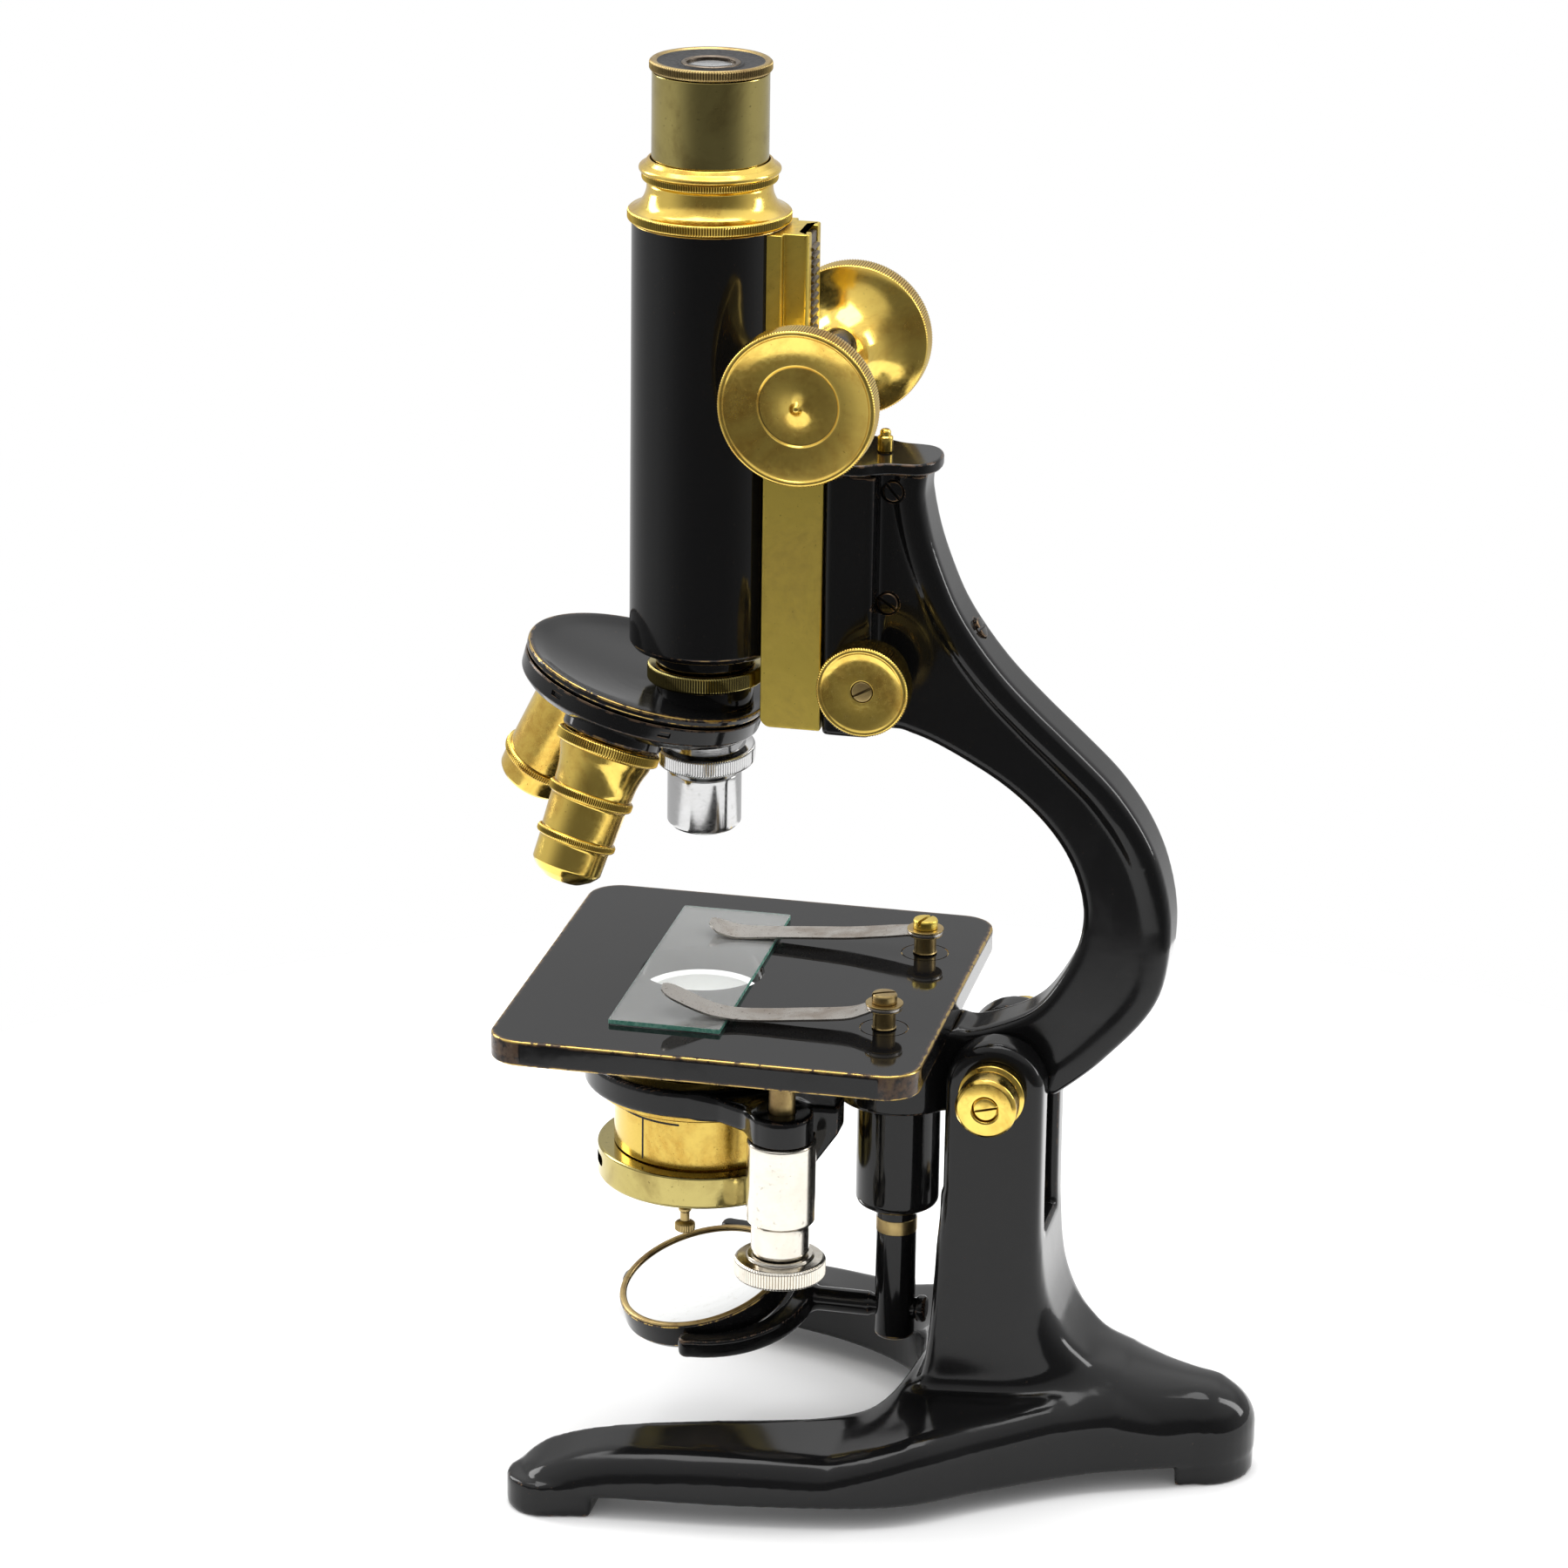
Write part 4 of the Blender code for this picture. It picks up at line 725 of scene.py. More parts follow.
def build_foot():
    """Horseshoe foot with its column and cheeks: crowned legs, broadly rounded outside and crisp inside."""
    step = CAST_STEP * 1.15
    low = (-35.0, -67.0, FLOOR - 3.0)
    x, y, z = grid(low, (136.5, 67.0, -3.0), step)
    outline, outer, inner = foot_plan()
    plan = outline_distance(x, y, outline).astype(np.float32)
    to_inner, to_outer = (line_distance(x, -np.abs(y), line) for line in (inner, outer))
    rounding = 1.8 + 5.4 * np.clip(0.62 + (to_inner - to_outer) / 9, 0, 1)
    legs = meet(plan, z - foot_top(x, y, to_inner), rounding)
    body = blend(legs, foot_column(x, y, z), 5)
    body = meet(body, FLOOR + 4.9 - z, 0.9)
    pads = np.minimum(meet(plan + 0.3, x + 11.2, 1.0), meet(plan + 0.3, 116.8 - x, 1.0))
    pads = np.maximum(meet(pads, FLOOR - z, 0.6), z - FLOOR - 8)
    body = np.minimum(body, pads)
    body = meet(body, -np.maximum(np.abs(y) - CHEEK_INNER, SLOT_FLOOR - z), 0.7)
    axle = round_cutter(AXLE_HOLE, -40, 40, at(*PIVOT) @ ALONG_Y)
    screw = round_cutter(2.1, -20, 8, at(FOOT_SCREW_X, 0, SLOT_FLOOR))
    casting("foot_casting", body, low, step, CAST_ENAMEL, AXIS, (axle, screw), 5)


def foot_column(x, y, z):
    """Column through stacked sections: small corners in front, long round ones behind, round cheeks."""
    # height, front x, back x, half width, length and breadth of the back corner
    sections = np.array(smooth_curve([(FLOOR - 5, 53, 122, 19, 40, 13), (FLOOR + 10, 55, 117, 19, 37, 12.5),
                                      (FLOOR + 20, 56.4, 108, 19.2, 31, 12),
                                      (FLOOR + 24.8, 57.2, 101.4, 19.2, 25, 11.5),
                                      (FLOOR + 27.3, 57.7, 97.5, 19.1, 21, 11),
                                      (FLOOR + 30.5, 58.1, 93.7, 19, 16.5, 10),
                                      (FLOOR + 34, 58.4, 90.5, 18.8, 12.5, 9),
                                      (FLOOR + 39.5, 58.8, 87.4, 18.4, 9, 7.5),
                                      (FLOOR + 46.2, 59.1, 85.3, 18, 6.5, 6),
                                      (FLOOR + 56, 59.5, 84.2, 17.6, 4.5, 4.5),
                                      (PIVOT.z - 26, 60.2, 83.7, CHEEK_OUTER, 3.2, 3.2),
                                      (PIVOT.z + 30, 60.5, 83.6, CHEEK_OUTER, 3, 3)], 5))
    front, back, half, length, breadth = (np.interp(z, sections[:, 0], sections[:, i]) for i in range(1, 6))
    beside = np.abs(y) - half
    before = meet(front - x, beside, 3.4)
    u, v = (x - back + length) / length, (beside + breadth) / breadth
    behind = np.hypot(np.maximum(u, 0), np.maximum(v, 0)) + np.minimum(np.maximum(u, v), 0) - 1
    column = np.maximum(before, behind * np.minimum(length, breadth))
    cheek = np.hypot(x - PIVOT.x, np.maximum(z - PIVOT.z, 0)) - 11.5
    return np.maximum(column, meet(cheek, np.abs(y) - CHEEK_OUTER, 2.6) + np.where(z < PIVOT.z - 26, -60, 0))


def build_inclination_joint():
    centre = at(*PIVOT)
    front, seat = BOSS_FRONT, CHEEK_OUTER + 0.3
    for side, _, facing in SIDES:
        profile = [(0, front - 1.5), (3.1, front - 1.5), (3.1, front - 0.1), (3.5, front), (6.3, front - 0.1),
                   (7.1, front - 0.9, 1), (7.1, seat + 4.2, 1), (6.5, seat + 3.6), (6.5, seat + 3.0),
                   (7.7, seat + 2.6), (7.7, seat), (0, seat)]
        turned(f"inclination_boss_{side}", profile, GOLD, centre @ facing, pitch=0.9, depth=0.0, width=0.25)
    slotted("boss_screw_near", 2.75, 1.2, GOLD, centre @ TOWARDS_NEAR @ raised(front - 1.5), 14)
    slotted("far_boss_screw", 2.75, 1.2, GOLD, centre @ ALONG_Y @ raised(front - 1.5), 40, "foot")
    turned("inclination_axle", sleeve(0, 3.9, -seat, seat), STEEL, centre @ ALONG_Y, steps=48)
    slotted("slot_screw", 3.6, 2.3, AGED, at(FOOT_SCREW_X, 0, SLOT_FLOOR + 0.3), 70)


# Limb ----

def limb_lines():
    outer = smooth_curve([(52.2, 130), (51.0, 122.7), (51.2, 118.6), (53, 110.6), (55.8, 102.6), (59.4, 94.6),
                          (64.6, 86.7), (71, 79), (78.9, 71.3), (87.3, 63.7), (95.4, 56), (101.5, 48.1),
                          (105.8, 40.1), (108.5, 31.8), (109.8, 23.5), (109.5, 14.9), (107.8, 6.1),
                          (103.5, -1.5), (95.8, -10.3), (90.9, -15.1), (84.8, -20.2)], 4)
    inner = smooth_curve([(61, -6.6), (67.5, -5.4), (76.9, -1.2), (82.5, 4.2), (88.1, 14.6), (89.9, 23.2),
                          (88.6, 31.5), (84.9, 39.6), (78.5, 47.4), (69.1, 54.9), (55.7, 62.1),
                          (47, 65.2)], 4)
    return outer, inner


def limb_body(x, y, z):
    """A web with a raised rib along its back, the guide block in front and the tail boss below."""
    outer, inner = limb_lines()
    belly = arc(PIVOT.x, PIVOT.z, 11.2, -20, -100, 8)
    under_stage = [(62, -25.4), (TAIL.x, -25.4), (TAIL.x, -6.9)]
    outline = outer + belly + under_stage + inner + [(38, 65.2), (38, 130)]
    plan = outline_distance(x, z, outline).astype(np.float32)
    beside = np.abs(y)
    web = meet(plan, beside - LIMB_HALF_WIDTH, 2.0)
    to_back = line_distance(x, z, outer)
    proud = 1.15 * np.clip((z - 22) / 26, 0, 1)
    rib = meet(meet(plan, to_back - 6.7, 1.2), beside - LIMB_HALF_WIDTH - proud, 2.6)
    web = blend(web, rib, 0.9)
    guide = meet(meet(29.6 - x, x - 40.9, 1.0), beside - 12.1, 1.3)
    guide = meet(guide, 64.4 - z, 0.9)
    body = blend(web, guide, 3.2)
    boss = meet(np.hypot(x - TAIL.x, y) - 15.0, np.maximum(-26.0 - z, z + 6.3), 1.0)
    boss = np.maximum(boss, np.maximum(x - 62.0, z + 6.3))
    body = blend(body, boss, 3.0)
    clear = np.maximum(np.maximum(x - 60.9, -6.3 - z), z - 5)
    body = np.maximum(body, -clear)
    cheek_room = np.maximum(np.maximum(7.85 - beside, z - 1), 60.2 - x)
    return np.maximum(body, -cheek_room)


def build_limb():
    step = CAST_STEP * 0.9
    low = (28.0, -16.5, -33.0)
    body = limb_body(*grid(low, (112.0, 16.5, 128.5), step))
    spots = [(at(x, -LIMB_HALF_WIDTH, z) @ TOWARDS_NEAR, 2.8, -1.0) for x, z in ((44.2, 121.5), (43.4, 95.3))]
    spots.append((at(63.9, 0, 89.2) @ turn(61, "Y"), 2.75, -1.1))
    holes = [round_cutter(radius, depth, 6, spot) for spot, radius, depth in spots]
    holes += [block_cutter((0, -60, LIMB_TOP), (90, 60, LIMB_TOP + 20)),
              block_cutter((0, -5.3, 40), (33.4, 5.3, 140)),
              round_cutter(AXLE_HOLE, -20, 20, at(*PIVOT) @ ALONG_Y),
              round_cutter(2.7, -20, 20, at(*FINE) @ ALONG_Y), round_cutter(5.2, -40, -18, at(TAIL.x, 0, 0))]
    casting("limb_casting", body, low, step, CAST_ENAMEL, AXIS, holes, 4)
    names = "limb_side_screw_upper", "limb_side_screw_lower", "limb_back_screw"
    for name, (spot, _, depth), angle in zip(names, spots, (-50, -35, 85)):
        slotted(name, 2.4, 1.15, CAST_ENAMEL, spot @ raised(depth + 0.1), angle, slot_width=0.3)


def build_limb_top():
    """Cover plate over the guide and the limb, wider in front, with a stud through it."""
    low, high = LIMB_TOP + 0.3, LIMB_TOP + 3.1
    side = smooth_curve([(29.9, 12.9), (34, 13.1), (38, 12.6), (41.2, 10.4), (44, 9.2), (47.5, 9.0),
                         (50.2, 8.4), (52.4, 6.4), (53.7, 3.2), (54, 0)], 5)
    outline = side + [(x, -y) for x, y in reversed(side)][1:]
    groove = block_cutter((20, -5.3, 100), (33.4, 5.3, 160), width=0)
    prism("limb_top_plate", outline, low, high, CAST_ENAMEL, AXIS, width=0.7, hold=0,
          cutters=(groove, round_cutter(1.35, 100, 160, at(40.8, 0, 0))))
    stud = [(0, high + 5.4), (0.9, high + 5.3), (1.25, high + 4.8), (1.25, high + 3.9), (1.75, high + 3.6),
            (1.75, high + 0.3), (1.0, high + 0.3), (1.0, low + 0.3), (0, low + 0.3)]
    turned("top_plate_stud", stud, GOLD, at(40.8, 0, 0), steps=48, width=0.15)


def build_tail_sleeve():
    bottom = -53.8
    profile = [(4.9, -26.3), (9.8, -26.3), (9.8, bottom + 2.2), (9.4, bottom + 1.2), (7.8, bottom + 0.1),
               (7.0, bottom), (4.9, bottom)]
    turned("tail_sleeve", profile, ENAMEL, at(TAIL.x, 0, 0), width=0.5)


# Focus drives ----

def build_fine_focus():
    front = FINE_KNOB_FRONT
    turned("fine_focus_spindle", sleeve(0, 2.45, -21.5, 21.5), STEEL, at(*FINE) @ ALONG_Y, steps=48)
    for side, _, facing in SIDES:
        sunk = [(0, front - 1.7), (2.55, front - 1.7), (2.55, front - 0.75)]
        face = smooth_curve([(2.7, front - 0.7), (5, front - 0.85), (7.6, front - 0.75),
                             (9.0, front - 0.35)], 3)
        rim = [(9.4, front), (10.0, front), (10.5, front - 0.5, 1), (10.5, front - 6.4, 1),
               (10.1, front - 6.9)]
        neck = [(9.5, front - 7.2), (9.1, front - 8.4), (8.6, front - 9.6), (8.6, 12.6), (0, 12.6)]
        profile = sunk + face + rim + neck
        turned(f"fine_focus_knob_{side}", profile, GOLD, at(*FINE) @ facing, pitch=KNURL, depth=0.24,
               width=0.2)
    screw = at(*FINE) @ TOWARDS_NEAR @ raised(front - 1.6)
    slotted("fine_knob_screw", 2.35, 1.0, AGED, screw, 28)
    slotted("far_fine_knob_screw", 2.35, 1.0, AGED, at(*FINE) @ ALONG_Y @ raised(front - 1.6), 60,
            "fine_drive")


def build_slide_block():
    """Brass block wrapping the slide bar, with its tongue in the limb, and the pinion housing on it."""
    low, high, back = BLOCK_LOW, BLOCK_HIGH, BLOCK_BACK
    outline = [(15.4, -12), (back, -12), (back, -5), (33.1, -5), (33.1, 5), (back, 5), (back, 12), (15.4, 12),
               (15.4, 9.4), (25.3, 9.4), (25.3, -9.4), (15.4, -9.4)]
    corner = prism_mesh("cutter", [(10, 60), (20, 60), (20, low)] + arc(18.2, low + 2.8, 2.8, -90, -180, 6)
                        + [(15.4, 75), (10, 75)], -30, 30, 0)
    tongue = block_cutter((back + 0.0001, -30, 124), (60, 30, 200))
    prism("slide_block", outline, low, high, SATIN, AXIS, width=0.35,
          cutters=((corner, AXIS @ TOWARDS_NEAR), tongue))
    side = [(25.0, high + 0.3), (32.2, high + 0.3), (32.2, 148)]
    side += arc(28.6, 150.6, 4.4, 0, 120, 8) + [(25, 153.5)]
    axle = at(*PINION) @ ALONG_Y
    prism("pinion_housing", side, -5.6, 5.6, ENAMEL, AXIS @ TOWARDS_NEAR, width=0.6,
          cutters=(round_cutter(3.9, -4, 4, axle), round_cutter(2.35, -10, 10, axle)))


def build_coarse_focus():
    """Two dished brass discs with milled rims on the pinion's shaft."""
    rim, face, radius = COARSE_RIM, COARSE_FACE, COARSE_RADIUS
    for side, _, facing in SIDES:
        nipple = smooth_curve([(0, face + 0.05), (0.55, face - 0.1), (1.1, face - 0.75), (1.7, face - 1.35),
                               (2.8, face - 1.95), (4.4, face - 2.5), (6.6, face - 2.85),
                               (8.8, face - 2.9)], 3)
        dish = smooth_curve([(9.25, face - 2.35), (11.2, face - 2.05), (13.6, face - 1.45),
                             (16.2, face - 0.5)], 3)
        lip = [(16.55, face - 0.1), (17.0, face), (17.45, face - 0.25), (radius, face - 0.7, 1),
               (radius, rim + 0.8, 1), (17.4, rim + 0.2)]
        neck = smooth_curve([(16.6, rim - 0.2), (13.6, rim - 1.3), (11.2, rim - 2.8), (8.8, rim - 4.8),
                             (7.0, rim - 7.2), (5.9, rim - 9.4), (5.2, rim - 12)], 3)
        profile = nipple + dish + lip + neck + [(5.0, 7.3), (0, 7.3)]
        turned(f"coarse_knob_{side}", profile, GOLD, at(*PINION) @ facing, pitch=KNURL, depth=0.3, width=0.18)


def build_tube_slide():
    """Brass bar behind the body tube, with its saddle against the tube."""
    low, high = 66, 178.6
    outline = [(14.0, -9.0), (18.4, -9.0), (18.4, -6.8), (23.4, -6.8), (24.0, -6.2), (24.0, -3.3),
               (22.1, -3.3), (22.1, 3.3), (24.0, 3.3), (24.0, 6.2), (23.4, 6.8), (18.4, 6.8), (18.4, 9.0),
               (14.0, 9.0)]
    seat = round_cutter(TUBE_RADIUS + 0.12, 50, 200, AXIS, 96)
    foot = block_cutter((10, -20, 50), (18.0, 20, 83.5))
    prism("tube_slide_bar", outline, low, high, SATIN, AXIS, width=0.3, cutters=(seat, foot))


# Tube, eyepiece and nosepiece ----

def build_tube():
    inner = TUBE_RADIUS - 1.6
    profile = [(inner, 179.0), (TUBE_RADIUS, 179.0), (TUBE_RADIUS, 81.4), (TUBE_RADIUS - 0.9, 80.1),
               (11.4, 80.1), (11.4, 76.3), (9.2, 76.3), (9.2, 82), (inner, 82)]
    turned("body_tube", profile, ENAMEL, AXIS, steps=160, width=0.3)
    flare = smooth_curve([(14.05, 187.5), (14.15, 186.2), (14.5, 184.9), (15.1, 183.7), (16.1, 182.6),
                          (17.3, 181.9)], 3)
    rim = [(18.0, 181.75), (18.4, 181.3, 1), (18.4, 179.7, 1), (18.0, 179.3)]
    bore = [(15.5, 179.3), (15.5, 174.5), (14.2, 174.5), (13.4, 179.3)]
    profile = [(13.4, 188.1), (13.7, 188.1)] + flare + rim + bore
    turned("bell_cap", profile, GOLD, AXIS, pitch=KNURL, depth=0.26, width=0.2)
    bead = arc(15.15, 190.95, 0.75, 70, -70, 6)
    rim = [(15.0, 190.1), (15.25, 189.9, 1), (15.25, 188.8, 1), (15.0, 188.4)]
    profile = [(13.4, 193.2), (13.9, 193.1), (14.6, 192.2)] + bead + rim + [(13.4, 188.4)]
    turned("draw_tube_collar", profile, GOLD, AXIS, pitch=KNURL, depth=0.26, width=0.15)
    profile = [(9.4, 75.9), (12.8, 75.9), (13.3, 75.4, 1), (13.3, 72.3, 1), (12.8, 71.8), (9.4, 71.8)]
    turned("nosepiece_ring", profile, OLIVE, AXIS, pitch=KNURL, depth=0.26, width=0.2)


def build_eyepiece():
    top, inner = EYEPIECE_TOP, DRAW_RADIUS - 1.2
    turned("draw_tube", sleeve(inner, DRAW_RADIUS, 112, 212.6), OLIVE, AXIS, steps=128)
    profile = [(11.9, top - 0.4), (12.5, top), (13.2, top), (13.7, top - 0.5, 1), (13.7, top - 1.9, 1),
               (13.3, top - 2.4), (11.9, top - 2.4)]
    turned("eyepiece_cap", profile, AGED, AXIS, pitch=KNURL, depth=0.24, width=0.15)
    profile = [(6.5, top - 0.9), (7.2, top - 0.7), (7.5, top - 1.2), (9.4, top - 1.0), (11.2, top - 0.7),
               (12.1, top - 0.3), (12.1, top - 2.3), (6.5, top - 2.3)]
    turned("eyepiece_recess", profile, DULL_BLACK, AXIS, "eyepiece", width=0.15)
    profile = [(5.5, top - 0.75), (6.2, top - 0.45), (6.6, top - 0.7), (6.6, top - 2.2), (5.5, top - 2.2)]
    turned("eye_lens_ring", profile, RACK_STEEL, AXIS, "eyepiece", width=0.12)
    dome = smooth_curve([(0, top - 0.75), (2.2, top - 0.85), (4.2, top - 1.1), (5.9, top - 1.5)], 3)
    turned("eye_lens", dome + [(5.9, top - 2.2), (0, top - 2.3)], LENS, AXIS, steps=64, width=0.1)
    turned("eyepiece_tube", sleeve(10.6, inner - 0.1, 166, 212.6), OLIVE, AXIS)
    dome = smooth_curve([(0, 170.4), (4, 170.0), (7.5, 169.2), (10.3, 168.0)], 3)
    turned("field_lens", dome + [(10.3, 167), (0, 167)], LENS, AXIS, steps=64, width=0.1)
    # dull black disc under the eye lens: painted shade for the dark inside of the eyepiece
    turned("eyepiece_shade", sleeve(0, 10.5, 208.6, 209.4), DULL_BLACK, AXIS, "eyepiece")


def nose_frame():
    """Frame of the revolving plate: origin at the middle of its rim plane, +Z up its leaning axis."""
    lean = Vector(JOINTS["revolver_turn"]["axis"])
    return at(*NOSE) @ Matrix.Rotation(math.atan2(lean.x, lean.z), 4, "Y")


def station(degrees):
    """Frame of an objective, turned about the plate's axis from the place on the optical axis."""
    nose = nose_frame()
    reach = -NOSE.x / (nose.to_3x3() @ Vector((1, 0, 0))).x
    on_axis = Matrix.Translation(nose @ Vector((reach * MM, 0, 0)))
    return nose @ turn(degrees) @ nose.inverted() @ on_axis


def build_nosepiece():
    nose, radius = nose_frame(), NOSE_RADIUS
    hollow = smooth_curve([(0, -3.4), (9, -3.1), (17, -2.3), (23, -1.3), (25.6, -0.55), (26.9, -0.1)], 3)
    profile = hollow + [(27.6, 0.05), (28.1, -0.05), (radius, -0.45), (radius, -1.5), (radius - 0.3, -1.9),
                        (radius - 3, -5.1), (0, -5.1)]
    turned("nosepiece_dish", profile, ENAMEL, nose, steps=160, width=0.25)
    slant = round_cutter(60, -40, -4.0, nose)
    turned("nosepiece_neck", sleeve(8.0, 11.1, 66.6, 71.5), ENAMEL, AXIS, "tube", cutters=[slant])
    profile = [(0, -5.5), (25.1, -5.5), (27.0, -3.3), (28.0, -2.5), (28.25, -2.9), (28.25, -6.4),
               (27.9, -6.9), (26.6, -8.2), (24.2, -9.4), (22, -10.2), (8, -13.6), (0, -14)]
    notches = [block_cutter((27.6, -1.5, -5.2), (30, 1.5, -4.0), nose @ turn(angle), 0.2)
               for angle in (-122, -66, 2, 118)]
    turned("revolver_plate", profile, CAST_ENAMEL, nose, steps=160, cutters=notches)
    for i, angle in enumerate(STATIONS):
        shape = [(7.9, -13.4), (7.9, -8.7), (10.6, -8.7), (11.6, -9.4), (11.6, -12.8), (11.2, -13.4)]
        turned(f"revolver_boss_{i}", shape, ENAMEL, station(angle), "revolver", width=0.35)
    screw = nose @ turn(180, "X") @ raised(14.3)
    slotted("revolver_pivot_screw", 3.9, 2.4, AGED, screw, 20, below=9)
    build_objectives()


def below_seat(points):
    return [(p[0], SEAT_DEPTH - p[1], *p[2:]) for p in points]


def objective_shapes():
    """Radius, distance below the seat, and knurl, for each objective's outside."""
    thread = [(5.2, -4), (7.85, -4), (7.85, 0)]
    long_brass = thread + [(11.2, 0), (11.6, 0.2), (12.1, 0.6, 1), (12.1, 2.5, 1), (11.6, 2.95), (10.9, 3.1)]
    long_brass += smooth_curve([(10.7, 4.2), (9.9, 6.6), (9.35, 9.4), (9.2, 11.9)], 3)
    long_brass += [(9.1, 12.3), (9.6, 12.5), (9.9, 12.9, 1), (9.9, 14.2, 1), (9.6, 14.6), (9.1, 14.8),
                   (8.9, 15.2), (8.55, 22.4), (8.5, 22.8), (9.0, 23.0), (9.3, 23.4, 1), (9.3, 24.3, 1),
                   (9.0, 24.7), (8.4, 24.9), (8.25, 25.4), (8.1, 30.6), (7.7, 31.2), (6.5, 32.5), (4.6, 33.7),
                   (4.0, 34.0), (2.5, 34.0), (2.5, 32.5), (5.2, 30)]
    short_brass = thread + [(10.6, 0), (11.3, 0.5, 1), (11.3, 2.5, 1), (10.8, 3.0), (9.7, 3.2), (9.5, 3.8),
                            (9.25, 21.0), (9.2, 21.5), (9.7, 21.7), (10.1, 22.1, 1), (10.1, 23.0, 1),
                            (9.8, 23.4), (9.3, 23.6), (9.2, 24.0), (9.0, 27.8), (8.4, 28.6), (4.4, 28.9),
                            (2.9, 28.9), (2.9, 27), (5.2, 25)]
    chrome = thread + [(9.1, 0), (9.4, 0.3), (9.4, 2.7), (11.2, 3.0), (11.7, 3.5, 1), (11.7, 6.8, 1),
                       (11.2, 7.3), (9.4, 7.6), (7.9, 7.8), (7.8, 9.1), (8.3, 9.4), (8.6, 9.7), (8.6, 22.7),
                       (8.2, 23.25), (4.4, 23.3), (3.9, 22.6), (3.2, 22.4), (3.2, 21.4), (5.2, 19)]
    return (("objective_chrome", chrome, CHROME, 3.25, 22.2),
            ("objective_short", short_brass, GOLD, 2.95, 28.6),
            ("objective_long", long_brass, GOLD, 2.55, 33.7))


def build_objectives():
    """Each is turned about its own axis: its shoulder on the plate's seat, its front lens pointing down."""
    for (name, profile, finish, lens, tip), angle in zip(objective_shapes(), STATIONS):
        matrix = station(angle)
        turned(name, below_seat(profile), finish, matrix, pitch=KNURL, depth=0.24, width=0.15)
        front = [(0, tip - 1.2), (lens, tip - 1.2), (lens, tip), (lens * 0.6, tip - 0.15), (0, tip - 0.25)]
        front = below_seat(front)
        turned(name.replace("objective", "front_lens"), front, LENS, matrix, "revolver", steps=48, width=0.05)


# Stage ----

def build_stage():
    plate = rounded_rectangle(*STAGE_SIDES, STAGE_CORNER, 10)
    cutters = [round_cutter(STAGE_HOLE, -20, 20, AXIS, 128)]
    for spot in (at(CLIP_X, point.y, 0) for point in CLIPS.values()):
        groove = turned_mesh("cutter", sleeve(5.35, 5.65, -0.25, 1), 64, width=0)
        cutters += [round_cutter(2.3, -20, 20, spot), (groove, spot)]
    prism("stage_plate", plate, STAGE_BOTTOM, 0, STAGE_ENAMEL, AXIS, width=0.55, cutters=cutters)


def build_clip_posts():
    """Turned posts in the stage, each with two washers and a screw that hold the clip's ring."""
    for (side, point), finish, angle in zip(CLIPS.items(), (AGED, SATIN), (26, 70)):
        spot = at(CLIP_X, point.y, 0)
        post = [(1.5, 4.6), (2.6, 4.6), (2.6, 0.6), (2.9, 0.3), (2.0, 0.3), (2.0, -5.6), (0, -5.6), (0, 1.4),
                (1.5, 1.4)]
        turned(f"clip_post_{side}", post, AGED, spot, steps=64, width=0.15)
        for i, (low, high, radius) in enumerate(((4.65, 4.9, 4.1), (5.8, 6.25, 4.3))):
            turned(f"clip_washer_{side}_{i}", sleeve(1.9, radius, low, high), AGED, spot, f"clip_{side}",
                   steps=64,
                   width=0.1)
        slotted(f"clip_screw_{side}", 2.9, 2.2, finish, spot @ raised(6.3), angle, slot_width=0.3, below=4.2)


def build_substage_rod():
    turned("substage_rod", sleeve(0, 3.05, -44, -6.3), AGED, at(POST.x, POST.y, 0), steps=64)


def build_slide():
    """Glass slip with green ground edges."""
    outline = rounded_rectangle(-13.2, 12.8, -38, 38, 0.4, 3)
    slide = prism("glass_slide", outline, 0.15, 1.25, GLASS, AXIS, width=0.08, hold=0)
    slide.data.materials.append(EDGE_GLASS.material)
    for face in slide.data.polygons:
        face.material_index = int(abs(face.normal.z) < 0.5)


def build_clips():
    """Sprung steel clips: a ring round the post, a strip that dips to the slide, a turned-up round tip."""
    near = [(-2, 5.3), (2, 5.2), (4.5, 4.3), (8.7, 3.1), (19.5, 2.3), (27, 1.8), (33.4, 1.65), (38, 2.2),
            (41.2, 3.1), (45.8, 5.0), (50.8, 7.2)]
    far = [(-2, 5.3), (3, 5.25), (6, 4.9), (12.4, 4.0), (18.8, 3.2), (30.2, 2.4), (38.2, 1.9), (44.3, 1.65),
           (48.4, 2.5), (51.3, 3.9)]
    for side, (angle, bow, heights) in {"near": (186.5, 0.6, near), "far": (182.5, -0.6, far)}.items():
        line = smooth_curve(heights, 6)
        end = heights[-1][0]
        widths = [(-2, 2.2), (3, 3.4), (8, 3.8), (37, 3.7), (end - 6, 4.3), (end - 2.2, 4.1),
                  (end - 0.7, 3.0), (end, 1.8)]
        points, faces = [], []
        for x, z in line:
            half = float(np.interp(x, *zip(*widths)))
            middle = 0.9 * bow * math.sin(math.pi * x / 50)
            for y, dz in ((-half, -0.26), (half, -0.26), (half, 0.26), (-half, 0.26)):
                points.append((x, middle + y, z + dz))
        for i in range(len(line) - 1):
            faces += [(4 * i + j, 4 * i + (j + 1) % 4, 4 * i + 4 + (j + 1) % 4,
                       4 * i + 4 + j) for j in range(4)]
        faces += [tuple(range(4)), tuple(range(len(points) - 4, len(points)))]
        matrix = at(CLIP_X, CLIPS[side].y, 0) @ turn(angle)
        clip = add(f"stage_clip_{side}", mesh_of("clip", points, faces), STEEL, matrix)
        level(carve(clip, round_cutter(1.7, 0, 10, matrix)))
        turned(f"clip_ring_{side}", sleeve(1.7, 4.2, 5.0, 5.7), STEEL, matrix, f"clip_{side}", steps=64,
               width=0.1)


# Substage and mirror ----

